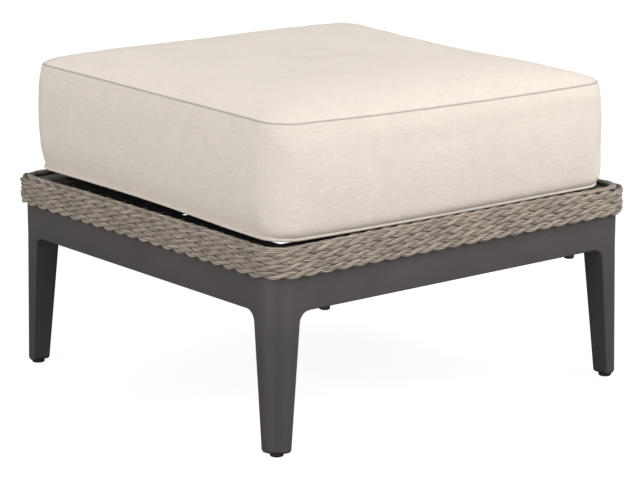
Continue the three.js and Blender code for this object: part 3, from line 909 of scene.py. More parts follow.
@dataclass
class BaseFrame:
    """Four cast legs, the aprons between them, and the plugs and glides under them."""

    shop: Workshop
    foot_width: float = 30.4 * MM
    leg_width: float = 46.6 * MM
    foot_outer: float = 26 * MM
    leg_outer: float = 35 * MM
    foot_inner: float = 2 * MM
    leg_inner: float = 10.5 * MM
    fillet: float = 15 * MM
    edge: float = 2.4 * MM
    wall: float = 3.2 * MM
    hollow: float = 6 * MM
    plug_chamfer: float = 1.4 * MM
    plug_edge: float = 0.7 * MM
    glide_diameter: float = 19 * MM
    glide_edge: float = 1.8 * MM
    glide_inset: float = 17.5 * MM
    stud_diameter: float = 8 * MM
    shaft_shares: tuple[float, ...] = (0.02, 0.3, 0.65, 1.0)
    fillet_steps: int = 9
    outer_steps: int = 18
    inner_steps: int = 6
    edge_steps: int = 3
    plug_steps: int = 4
    glide_edge_steps: int = 5
    glide_steps: int = 40
    half_width: float = field(init=False)
    half_depth: float = field(init=False)
    foot_level: float = field(init=False)
    top_level: float = field(init=False)
    apron_level: float = field(init=False)
    apron_thickness: float = field(init=False)
    stub: float = field(init=False)
    glide_top: float = field(init=False)

    def __post_init__(self) -> None:
        """Take the frame's sizes from the model."""
        low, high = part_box("leg_front_left")
        self.half_width, self.half_depth = -low.x, -low.y
        self.foot_level, self.top_level = low.z, high.z
        apron_low, apron_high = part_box("apron_front")
        self.apron_level = apron_low.z
        self.apron_thickness = apron_high.y - apron_low.y
        self.stub = (high.x + apron_low.x) / 2 + self.half_width
        self.glide_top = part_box("leg_plug_front_left")[0].z

    def _section(self, level: float, inset: float = 0.0) -> tuple[float, float, float]:
        """The leg's section at a level.

        Args:
            level: The level.
            inset: How far the section is set in.

        Returns:
            Its width, its outer radius and its inner radius.
        """
        share = min((level - self.foot_level) / (self.apron_level - self.foot_level), 1.0)
        width = blend(self.foot_width, self.leg_width, share) - inset
        outer = blend(self.foot_outer, self.leg_outer, share) - inset
        inner = max(blend(self.foot_inner, self.leg_inner, share) - inset, self.plug_edge)
        return width, outer, inner

    def outer_arc(self, radius: float, inset: float = 0.0) -> list[tuple[float, float]]:
        """The round of an outer corner, from its left side to its front."""
        return arc((radius + inset, radius + inset), radius, math.pi, 1.5 * math.pi, self.outer_steps)

    def _ring(self, level: float, edge: tuple[float, float], facing: float) -> Ring:
        """One ring of the casting.

        Args:
            level: The level of its corner and inner faces.
            edge: How far along the apron its side lies, and at which level.
            facing: How far that side has turned to look down, from 0 to a quarter turn.

        Returns:
            The ring's points, from the outer corner round to the other apron.
        """
        width, outer, inner = self._section(level)
        thick = min(self.apron_thickness, width - inner - self.plug_edge)
        reach, edge_level = edge
        arm = []
        for i in range(self.edge_steps + 1):
            angle = QUARTER * i / self.edge_steps
            back = self.edge * (1 - math.sin(angle))
            along, rise = reach - back * math.cos(facing), edge_level + back * math.sin(facing)
            arm.append(Vector((along, self.edge * (1 - math.cos(angle)), rise)))
        arm += [Vector((reach, thick, edge_level)), Vector((width, thick, level))]
        inside = arc((width - inner, width - inner), inner, 0, QUARTER, self.inner_steps)
        other = [Vector((p.y, p.x, p.z)) for p in reversed(arm)]
        return [*at_level(self.outer_arc(outer), level), *arm, *at_level(inside, level), *other]

    def leg(self, corner: Corner) -> None:
        """Make a leg with its two arms and the fillets under them.

        Args:
            corner: Its corner.
        """
        start = self.apron_level - self.fillet
        levels = [self.foot_level, *[blend(self.foot_level, start, share) for share in self.shaft_shares]]
        rings = [self._ring(level, (self._section(level)[0], level), 0.0) for level in levels]
        for i in range(1, self.fillet_steps + 1):
            turned = QUARTER * i / self.fillet_steps
            level = start + self.fillet * math.sin(turned)
            reach = self._section(level)[0] + self.fillet * (1 - math.cos(turned))
            rings.append(self._ring(level, (reach, level), turned))
        rings.append(self._ring(self.apron_level + self.edge, (self.stub, self.apron_level), QUARTER))
        top = self._ring(self.top_level, (self.stub, self.top_level), QUARTER)
        rings.append(at_level([p.xy for p in top], self.top_level))
        bm = bmesh.new()
        loft(bm, rings)
        foot = min(bm.faces, key=lambda face: face.calc_center_median().z)
        bmesh.ops.inset_region(bm, faces=[foot], thickness=self.wall, use_even_offset=True)
        bmesh.ops.translate(bm, vec=(0, 0, self.hollow), verts=foot.verts)
        self.fit("leg_casting", bm, Slot.FRAME_COAT, "leg", corner, weighted=True)

    def at(self, spot: Place) -> Matrix:
        """The place of what was made at the first corner, or at the first side with its face at Y 0.

        Args:
            spot: The corner or side.

        Returns:
            The matrix that carries it there.
        """
        x, y = spot.signs
        moved = Matrix.Translation((x * self.half_width, y * self.half_depth, 0))
        return moved @ Matrix.Rotation(spot.turn, 4, "Z")

    def fit(
        self,
        name: str,
        bm: bmesh.types.BMesh,
        slot: Slot,
        node: str,
        spot: Place,
        inset: float = 0.0,
        **more: Any,
    ) -> None:
        """Carry a mesh to its corner or side and finish it as a piece.

        Args:
            name: The piece's name, to which the place's label is added.
            bm: The mesh, which is used up.
            slot: The finish.
            node: The CAD node that it stands for, to which the label is added.
            spot: The corner or side.
            inset: How far its own middle lies in from the corner.
            more: What else the workshop is told.
        """
        placed(bm, self.at(spot) @ Matrix.Translation((inset, inset, 0)))
        self.shop.piece(f"{name}_{spot.label}", bm, slot, [f"{node}_{spot.label}"], **more)

    def apron(self, side: Side) -> None:
        """Make an apron between the arms of two legs.

        Args:
            side: Its side.
        """
        half = (self.half_depth if side.signs[0] else self.half_width) - self.stub
        bm = bmesh.new()
        add_box(bm, (-half, 0, self.apron_level), (half, self.apron_thickness, self.top_level))
        bevel(bm, edges_along(bm, 0), self.edge)
        self.fit("apron_tube", bm, Slot.FRAME_COAT, "apron", side, weighted=True)

    def _plug_ring(self, inset: float, level: float) -> Ring:
        """The leg's foot section, set in.

        Args:
            inset: How far it is set in.
            level: The level to lay it at.

        Returns:
            The ring's points.
        """
        width, outer, inner = self._section(self.foot_level, inset)
        near, far = inset + self.edge, width - self.edge
        points = [
            *self.outer_arc(outer, inset),
            *arc((far, near), self.edge, -QUARTER, 0, self.plug_steps),
            *arc((width - inner, width - inner), inner, 0, QUARTER, self.inner_steps),
            *arc((near, far), self.edge, QUARTER, math.pi, self.plug_steps),
        ]
        return at_level(points, level)

    def plug(self, corner: Corner) -> None:
        """Make the chamfered plug that closes a leg's foot, with its spigot.

        Args:
            corner: The leg's corner.
        """
        low, high = self.glide_top, self.foot_level
        fit = self.wall + self.plug_edge
        steps = (
            (self.plug_edge + self.plug_chamfer, low),
            (self.plug_edge, low + self.plug_chamfer),
            (self.plug_edge, high),
            (fit, high),
            (fit, high + self.hollow - self.plug_edge),
        )
        bm = bmesh.new()
        loft(bm, [self._plug_ring(inset, level) for inset, level in steps])
        self.fit("leg_end_plug", bm, Slot.PLASTIC, "leg_plug", corner)

    def glide(self, corner: Corner) -> None:
        """Make a turned glide with eased edges on its stud.

        Args:
            corner: The leg's corner.
        """
        edge, steps, name = self.glide_edge, self.glide_edge_steps, "glide_" + corner.label
        flat, top = self.glide_diameter / 2 - edge, self.glide_top - SEAT_GAP
        stud, stud_top = self.stud_diameter / 2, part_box(name)[1].z
        profile = [(0.0, 0.0), (flat, 0.0)]
        profile += arc((flat, edge), edge, -QUARTER, 0, steps)[1:]
        profile += arc((flat, top - edge), edge, 0, QUARTER, steps)
        profile += [(stud, top), (stud, stud_top), (0.0, stud_top)]
        bm = bmesh.new()
        verts = [bm.verts.new((x, 0, z)) for x, z in profile]
        edges = [bm.edges.new(pair) for pair in zip(verts, verts[1:])]
        turn_round(bm, verts + edges, self.glide_steps)
        self.fit("screw_in_glide", bm, Slot.GLIDE, "glide", corner, self.glide_inset, body=name)

    def build(self) -> None:
        """Make the base."""
        for corner in Corner:
            self.leg(corner)
            self.plug(corner)
            self.glide(corner)
        for side in Side:
            self.apron(side)


@dataclass
class SeatFrame:
    """The black tubes and corner castings that carry the seat, and the bolts that hold them down."""

    shop: Workshop
    base: BaseFrame
    edge: float = 1.5 * MM
    head_sides: int = 6
    head_across: float = 13 * MM
    head_chamfer: float = 0.7 * MM
    shank_steps: int = 24
    shank_overlap: float = 0.2 * MM
    washer_hole: float = 4.4 * MM
    washer_ease: float = 0.25 * MM
    washer_steps: int = 36
    bolts: tuple[str, ...] = ("front_left", "front_right", "back_left", "back_right")

    def rail(self, side: Side) -> None:
        """Make a rail with its four long edges rounded.

        Args:
            side: Its side.
        """
        node = "seat_rail_" + side.label
        bm = bmesh.new()
        add_box(bm, *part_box(node))
        bevel(bm, edges_along(bm, 1 if side.signs[0] else 0), self.edge)
        self.shop.piece("seat_rail_tube_" + side.label, bm, Slot.SEAT_COAT, [node], weighted=True)

    def corner_block(self, corner: Corner) -> None:
        """Make a corner casting with its large outer radius.

        Args:
            corner: Its corner.
        """
        rail_low, rail_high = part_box("seat_rail_front")
        width = rail_high.y - rail_low.y
        outer = self.base.leg_outer
        outline = [*self.base.outer_arc(outer), (width, 0), (width, width), (0, width)]
        bm = bmesh.new()
        _, edges = edge_loop(bm, at_level(outline, rail_low.z))
        face = bmesh.ops.contextual_create(bm, geom=edges)["faces"]
        raise_faces(bm, face, rail_high.z - rail_low.z)
        rim = []
        for edge in bm.edges:
            first, second = (vert.co for vert in edge.verts)
            level = abs(first.z - second.z) < self.edge and edge.calc_length() < width
            if level and max(min(first.xy), min(second.xy)) < outer:
                rim.append(edge)
        bevel(bm, rim, self.edge / 2, 2)
        self.base.fit("seat_corner_casting", bm, Slot.SEAT_COAT, "seat_corner", corner, weighted=True)

    def bolt(self, label: str) -> None:
        """Make a chamfered hexagon head on its shank.

        Args:
            label: Where the bolt is.
        """
        low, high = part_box("rail_bolt_" + label)
        washer_low, washer_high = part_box("bolt_washer_" + label)
        x, y, _ = (washer_low + washer_high) / 2
        head_top = washer_low.z - SEAT_GAP
        bm = bmesh.new()
        head = bmesh.ops.create_circle(
            bm,
            cap_ends=True,
            segments=self.head_sides,
            radius=self.head_across / math.sqrt(3),
            matrix=Matrix.Translation((x, y, low.z)),
        )["verts"]
        raise_faces(bm, list(bm.faces), head_top - low.z)
        lower = [e for e in bm.edges if all(v in head for v in e.verts)]
        bevel(bm, lower, self.head_chamfer, 2)
        bmesh.ops.create_cone(
            bm,
            cap_ends=True,
            segments=self.shank_steps,
            radius1=self.base.stud_diameter / 2,
            radius2=self.base.stud_diameter / 2,
            depth=high.z - head_top + self.shank_overlap,
            matrix=Matrix.Translation((x, y, (head_top + high.z) / 2)),
        )
        self.shop.piece("hex_bolt_" + label, bm, Slot.ZINC, ["rail_bolt_" + label])

    def washer(self, label: str) -> None:
        """Make a flat washer with eased rims.

        Args:
            label: Where the bolt is.
        """
        node = "bolt_washer_" + label
        low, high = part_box(node)
        middle, radius = (low + high) / 2, (high.x - low.x) / 2
        profile = [
            (self.washer_hole, low.z),
            (radius - self.washer_ease, low.z),
            (radius, low.z + self.washer_ease),
            (radius, high.z - self.washer_ease),
            (radius - self.washer_ease, high.z),
            (self.washer_hole, high.z),
        ]
        bm = bmesh.new()
        verts, edges = edge_loop(bm, [Vector((x, 0, z)) for x, z in profile])
        turn_round(bm, verts + edges, self.washer_steps)
        placed(bm, Matrix.Translation((middle.x, middle.y, 0)))
        self.shop.piece("flat_washer_" + label, bm, Slot.ZINC, [node])

    def build(self, nodes: dict[str, bpy.types.Object]) -> None:
        """Make the seat frame.

        Args:
            nodes: The CAD nodes, of which the nuts stay with a better finish.
        """
        for side in Side:
            self.rail(side)
        for corner in Corner:
            self.corner_block(corner)
        for label in self.bolts:
            self.bolt(label)
            self.washer(label)
            nut = nodes["rail_nut_" + label]
            nut.data.materials.clear()
            nut.data.materials.append(self.shop.palette[Slot.ZINC])


# The webbing


@dataclass
class Webbing:
    """Straps woven over and under each other, riveted to the rails."""

    shop: Workshop
    thickness: float = 1.8 * MM
    level_run: float = 42 * MM
    edge: float = 0.5 * MM
    step: float = 4 * MM
    across_steps: int = 8
    rivet_radius: float = 4.2 * MM
    rivet_height: float = 1.3 * MM
    rivet_steps: tuple[int, int] = (14, 8)
    rivet_from_end: float = 14 * MM
    rivet_spread: float = 22 * MM
    count: int = 5

    def _level(self, run: float, places: Sequence[float], first_over: bool) -> float:
        """How the strap rises and falls over those that cross it.

        Args:
            run: The place along the strap.
            places: Where the others lie.
            first_over: Whether it goes over the first of them.

        Returns:
            The share of its full rise, from -1 under a strap to 1 over one.
        """
        pitch = places[1] - places[0]
        ramp = pitch - 2 * self.level_run
        marks = [places[0] - self.level_run - ramp, *[p + self.level_run for p in places]]
        signs = [1 if (i % 2 == 0) == first_over else -1 for i in range(len(places))]
        levels = [0, *signs, 0]
        value = 0.0
        for mark, before, after in zip(marks, levels, levels[1:]):
            value += (after - before) * smooth((run - mark) / ramp)
        return value

    def strap(self, name: str, places: Sequence[float], first_over: bool, along_x: bool) -> None:
        """Make a strap.

        Args:
            name: The strap's CAD node.
            places: Where the straps that cross it lie.
            first_over: Whether it goes over the first of them.
            along_x: Whether it runs along X.
        """
        low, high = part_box(name)
        middle, size = (low + high) / 2, high - low
        length, width = (size.x, size.y) if along_x else (size.y, size.x)
        rise = (size.z - self.thickness) / 2
        bm = bmesh.new()
        steps = round(length / self.step)
        bmesh.ops.create_grid(bm, x_segments=steps, y_segments=self.across_steps, size=0.5)
        for vert in bm.verts:
            run, across = vert.co.x * length, vert.co.y * width
            level = self._level(run, places, first_over) * rise + self.thickness / 2
            vert.co = Vector((run, across, level))
        bmesh.ops.solidify(bm, geom=list(bm.faces), thickness=self.thickness)
        bmesh.ops.recalc_face_normals(bm, faces=bm.faces)
        on_rim = {v for v in bm.verts if abs(abs(v.co.y) - width / 2) < self.shop.merge}
        bevel(bm, [e for e in edges_along(bm, 0) if on_rim.issuperset(e.verts)], self.edge, 2)
        mean = sum(v.co.z for v in bm.verts) / len(bm.verts)
        turn = Matrix.Identity(4) if along_x else Matrix.Rotation(QUARTER, 4, "Z")
        placed(bm, Matrix.Translation((middle.x, middle.y, middle.z - mean)) @ turn)
        lay_cloth(bm, (0, 1) if along_x else (1, 0))
        self.shop.piece(name.replace("webbing", "webbing_strap"), bm, Slot.WEBBING, [name])

    def rivets(self) -> None:
        """Make the rivets, two at each end of each strap."""
        bm = bmesh.new()
        around, over = self.rivet_steps
        form = Matrix.Diagonal((self.rivet_radius, self.rivet_radius, self.rivet_height, 1))
        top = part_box("seat_rail_front")[1].z + SEAT_GAP + self.thickness
        kinds = (("across", Vector((1, 0, 0))), ("lengthwise", Vector((0, 1, 0))))
        for i, (name, along) in itertools.product(range(1, self.count + 1), kinds):
            low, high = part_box(f"webbing_{name}_{i}")
            middle, half = (low + high) / 2, (high - low).dot(along) / 2
            beside = Vector((along.y, along.x, 0)) * self.rivet_spread
            for end, hand in itertools.product((-1, 1), repeat=2):
                spot = middle + along * end * (half - self.rivet_from_end) + beside * hand
                spot.z = top
                dome = Matrix.Translation(spot) @ form
                bmesh.ops.create_uvsphere(bm, u_segments=around, v_segments=over, radius=1.0, matrix=dome)
        self.shop.piece("webbing_rivets", bm, Slot.ZINC)

    def middles(self, kind: str, axis: int) -> list[float]:
        """Where the middles of a kind of straps lie on an axis."""
        boxes = [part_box(f"webbing_{kind}_{i}") for i in range(1, self.count + 1)]
        return [(low[axis] + high[axis]) / 2 for low, high in boxes]

    def build(self) -> None:
        """Make the straps and their rivets."""
        across, lengthwise = self.middles("across", 1), self.middles("lengthwise", 0)
        for i in range(self.count):
            over = i % 2 == 0
            self.strap(f"webbing_across_{i + 1}", lengthwise, over, True)
            self.strap(f"webbing_lengthwise_{i + 1}", across, not over, False)
        self.rivets()


# The rope


@dataclass
class RopeWinding:
    """One rope of two strands, laid round the seat frame in four rows and one more on its top."""

    shop: Workshop
    base: BaseFrame
    diameter: float = 10 * MM
    row_gap: float = 0.5 * MM
    clearance: float = 0.3 * MM
    outer_rows: int = 4
    climb: float = 130 * MM
    lay: float = 57.3 * MM
    strand_swing: float = 3.2 * MM
    pressed_swing: float = 1.7 * MM
    lying_swing: float = 0.9 * MM
    lying_drop: float = 1.0 * MM
    lowest_sinks: float = 1.6 * MM
    highest_sinks: float = 3.0 * MM
    cords: int = 6
    cord_radius: float = 1.27 * MM
    cord_offset: float = 2.05 * MM
    cord_steps: int = 6
    cord_turn: float = 110 * MM
    step: float = 3.1 * MM
    end_taper: float = 5 * MM
    rim_merge: float = 0.001 * MM
    end_size: float = 0.04
    corner_steps: int = 24
    climb_steps: int = 14
    corner_reach: float = 85 * MM
    corner_pull: float = 0.5 * MM
    squeeze: float = 0.15
    # Where the painted shade between the strands starts, and how far back it reaches full depth.
    hollow_starts: float = 3.4 * MM
    hollow_depth: float = 2.8 * MM
    valley_shade_power: float = 3.0
    tone_seeds: tuple[float, float, float] = (12.9898, 78.233, 43758.5453)
    level_weight: float = 4.0
    back_weight: float = 10.0
    corner_drops: tuple[tuple[Corner, float], ...] = (
        (Corner.FRONT_RIGHT, 3 * MM),
        (Corner.BACK_LEFT, 2.5 * MM),
        (Corner.BACK_RIGHT, 2.5 * MM),
        (Corner.FRONT_LEFT, 0.0),
    )

    def rows(self) -> list[tuple[float, float]]:
        """Where the rows lie.

        Returns:
            How far outside the rail's face each row's middle lies, and its level.
        """
        low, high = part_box("seat_rail_front")
        radius, pitch = self.diameter / 2, self.diameter + self.row_gap
        outer = [(radius + self.clearance, low.z + radius + i * pitch) for i in range(self.outer_rows)]
        return [*outer, (radius + self.clearance - pitch, high.z + self.clearance + radius)]

    def centreline(self) -> tuple[np.ndarray, np.ndarray, list[int]]:
        """The rope's middle line in even steps.

        Returns:
            The points, how far each has passed on to the rail's top, and the numbers of the points
            where one row passes into the next.
        """
        radius, half_x, half_y = self.base.leg_outer, self.base.half_width, self.base.half_depth
        rows = self.rows()
        last_step = self.climb + self.diameter
        points = [(-self.climb / 2, half_y + rows[0][0], rows[0][1], 0.0)]
        marks = []
        turns = ((-1, 1, 1), (-1, -1, 2), (1, -1, 3), (1, 1, 0))
        for k, (offset, level) in enumerate(rows):
            lying = float(k + 1 == len(rows))
            for x, y, turn in turns:
                centre = (x * (half_x - radius), y * (half_y - radius))
                bend = arc(centre, radius + offset, turn * QUARTER, (turn + 1) * QUARTER, self.corner_steps)
                points += [(px, py, level, lying) for px, py in bend]
            if lying:
                points.append((last_step + self.climb / 2 + self.diameter, half_y + offset, level, lying))
                break
            place = last_step if k + 1 == self.outer_rows else 0.0
            marks.append(place)
            for i in range(self.climb_steps + 1):
                share = i / self.climb_steps
                eased = smooth(share)
                row_offset = blend(offset, rows[k + 1][0], eased)
                row_level = blend(level, rows[k + 1][1], eased)
                lying = eased * float(k + 1 == self.outer_rows)
                points.append((place + self.climb * (0.5 - share), half_y + row_offset, row_level, lying))
        route = np.array(points)
        gone = np.concatenate([[0.0], np.cumsum(np.linalg.norm(np.diff(route[:, :3], axis=0), axis=1))])
        even = np.linspace(0, gone[-1], round(gone[-1] / self.step) + 1)
        evened = np.stack([np.interp(even, gone, column) for column in route.T], axis=1)
        line, top = np.split(evened, [3], axis=1)
        on_back = line[:, 1] > half_y - 2 * self.diameter
        cuts = []
        for k, place in enumerate(marks):
            off_level = np.abs(line[:, 2] - (rows[k][1] + rows[k + 1][1]) / 2)
            score = np.abs(line[:, 0] - place) + self.level_weight * off_level + self.back_weight * ~on_back
            cuts.append(int(np.argmin(score)))
        return line, top[:, 0], [0, *cuts, len(line) - 1]

    def drawn_in(self, line: np.ndarray) -> tuple[np.ndarray, np.ndarray]:
        """How the tight rope gives way round the corners.

        Args:
            line: The points of the rope's middle line.

        Returns:
            How near each point lies to a corner, from 0 to 1, and how much further the highest outer
            row sinks there.
        """
        radius, half_x, half_y = self.base.leg_outer, self.base.half_width, self.base.half_depth
        near, drop = np.zeros(len(line)), np.zeros(len(line))
        for corner, depth in self.corner_drops:
            x, y = corner.signs
            centre = np.array((x * (half_x - radius), y * (half_y - radius)))
            away = np.linalg.norm(line[:, :2] - centre, axis=1) - radius - self.diameter
            share = np.clip(1 - away / self.corner_reach, 0, 1)
            eased = share * share * (3 - 2 * share)
            near = np.maximum(near, eased)
            drop = np.maximum(drop, eased * depth)
        return near, drop

    def section(self) -> list[tuple[float, float]]:
        """The outline of a strand: thin cords side by side round its middle.

        Returns:
            The outline's points.
        """
        count = self.cords * self.cord_steps
        outline = []
        for i in range(count):
            angle = 2 * math.pi * i / count
            off = angle - 2 * math.pi * round(i / self.cord_steps) / self.cords
            across = self.cord_offset * math.sin(off)
            reach = self.cord_offset * math.cos(off) + math.sqrt(self.cord_radius**2 - across**2)
            outline.append((reach * math.cos(angle), reach * math.sin(angle)))
        return outline

    def _profile(self) -> bpy.types.Object:
        """The strand's outline as a curve to sweep."""
        outline = np.array([(x, y, 0.0, 1.0, 0.0) for x, y in self.section()])
        return laid_lines("strand_outline", [outline], True, dimensions="2D")

    def _sweep(self, profile: bpy.types.Object, lines: Sequence[np.ndarray]) -> bpy.types.Mesh:
        """Sweep the outline along lines, close the ends and turn the faces outwards.

        Args:
            profile: The outline's curve.
            lines: For each line, its points with their sizes and turns.

        Returns:
            The mesh.
        """
        holder = laid_lines(
            "strand_lines",
            lines,
            dimensions="3D",
            twist_mode="Z_UP",
            bevel_mode="OBJECT",
            bevel_object=profile,
            use_fill_caps=True,
        )
        mesh = swept(holder)
        bm = bmesh.new()
        bm.from_mesh(mesh)
        rims = [vert for vert in bm.verts if vert.is_boundary]
        bmesh.ops.remove_doubles(bm, verts=rims, dist=self.rim_merge)
        bmesh.ops.recalc_face_normals(bm, faces=bm.faces)
        bm.to_mesh(mesh)
        bm.free()
        return mesh

    def _recess(self, mesh: bpy.types.Mesh, line: np.ndarray, facing: np.ndarray) -> np.ndarray:
        """How far each vertex lies back in the hollows between the strands.

        Args:
            mesh: The two strands of a row.
            line: The row's middle line.
            facing: The way the row is seen at each of its points.

        Returns:
            The shares, 0 on the crowns and 1 deep between them.
        """
        # These shares set how much painted shade the rope's material puts in the hollows between the strands.
        around = self.cords * self.cord_steps
        middles, ways = (np.tile(np.repeat(part, around, axis=0), (2, 1)) for part in (line, facing))
        proud = ((points_of(mesh) - middles) * ways).sum(axis=1)
        return np.clip((self.hollow_starts - proud) / self.hollow_depth, 0, 1)

    def _mark(self, mesh: bpy.types.Mesh, start: float, count: int, recess: np.ndarray) -> None:
        """Give each vertex its place along and round its strand, its tone, and the amounts of painted shade
        in the valleys between its cords and in the recess between the strands.

        Args:
            mesh: The two strands of a row.
            start: How far along the rope the row starts.
            count: How many points each strand's line has.
            recess: How far back each vertex lies.
        """
        around, half = self.cords * self.cord_steps, self.cord_steps / 2
        cord_seed, strand_seed, gain = self.tone_seeds
        radius = self.cord_offset + self.cord_radius
        run = np.repeat(start + np.arange(count) * self.step, around)
        number = np.tile(np.arange(around), count)
        angle = number * 2 * math.pi / around
        cord = ((number + self.cord_steps // 2) // self.cord_steps) % self.cords
        off = np.abs((number + self.cord_steps // 2) % self.cord_steps - half)
        place, tone = [], []
        for strand in (0, 1):
            place.append(np.column_stack([run, radius * np.cos(angle), radius * np.sin(angle) + strand]))
            tone.append(np.modf(np.sin((cord + 1) * cord_seed + strand * strand_seed) * gain)[0] % 1.0)
        for label, kind, part, values in (
            ("yarn_place", "FLOAT_VECTOR", "vector", np.vstack(place)),
            ("cord_tone", "FLOAT", "value", np.concatenate(tone)),
            ("cord_valley_shade", "FLOAT", "value", np.tile((off / half) ** self.valley_shade_power, 2)),
            ("strand_recess_shade", "FLOAT", "value", recess),
        ):
            layer = mesh.attributes.new(label, kind, "POINT")
            layer.data.foreach_set(part, values.astype(np.float32).ravel())

    def build(self) -> None:
        """Make the rope, a piece for each row."""
        line, top, cuts = self.centreline()
        tangent = np.gradient(line, axis=0)
        tangent /= np.linalg.norm(tangent, axis=1)[:, None]
        outward = np.cross(tangent, (0, 0, 1))
        outward /= np.linalg.norm(outward, axis=1)[:, None]
        lift = np.cross(outward, tangent)
        run = np.arange(len(line)) * self.step
        rows = self.rows()
        near, drop = self.drawn_in(line)
        height = np.clip((line[:, 2] - rows[0][1]) / (rows[-2][1] - rows[0][1]), 0, 1)
        sunk = blend(self.lowest_sinks, self.highest_sinks, height) + drop * height
        line[:, 2] -= blend(sunk, self.lying_drop + near * self.lying_swing, top)
        line -= (near * top * self.corner_pull)[:, None] * outward
        facing = outward + top[:, None] * lift
        facing /= np.linalg.norm(facing, axis=1)[:, None]
        swing_out = blend(self.pressed_swing, self.strand_swing, top)[:, None]
        upright = self.strand_swing - (sunk - self.lowest_sinks) * self.squeeze
        swing_up = blend(upright, self.lying_swing * (1 - near), top)[:, None]
        from_end = np.minimum(run, run[-1] - run) / self.end_taper
        size = np.sqrt(np.clip(1 - (1 - np.minimum(from_end, 1)) ** 2, self.end_size, 1))
        profile = self._profile()
        for row, (first, last) in enumerate(zip(cuts, cuts[1:])):
            part = slice(first, last + 1)
            lines = []
            for strand in (0, 1):
                angle = (2 * math.pi * run[part] / self.lay + strand * math.pi)[:, None]
                place = line[part] + np.cos(angle) * swing_out[part] * outward[part]
                place += np.sin(angle) * swing_up[part] * lift[part]
                turn = 2 * math.pi * run[part] / self.cord_turn + strand
                lines.append(np.column_stack([place, size[part], turn]))
            mesh = self._sweep(profile, lines)
            recess = self._recess(mesh, line[part], facing[part])
            self._mark(mesh, run[first], last + 1 - first, recess)
            self.shop.piece(f"rope_row_{row + 1}", mesh, Slot.ROPE, ["rope_winding"])
        bpy.data.objects.remove(profile)


# The cushion


@dataclass
class OutlinePoint:
    """A point of the cushion's plan: its place, the way it faces, its station and how far it is drawn in."""

    place: Vector
    outward: Vector
    station: float
    pull: float


@dataclass(frozen=True)
class Dent:
    """A soft hollow, or a swell where its depth is below zero, on one side of the cushion."""

    side: Side
    along: float
    level: float
    width: float
    height: float
    depth: float


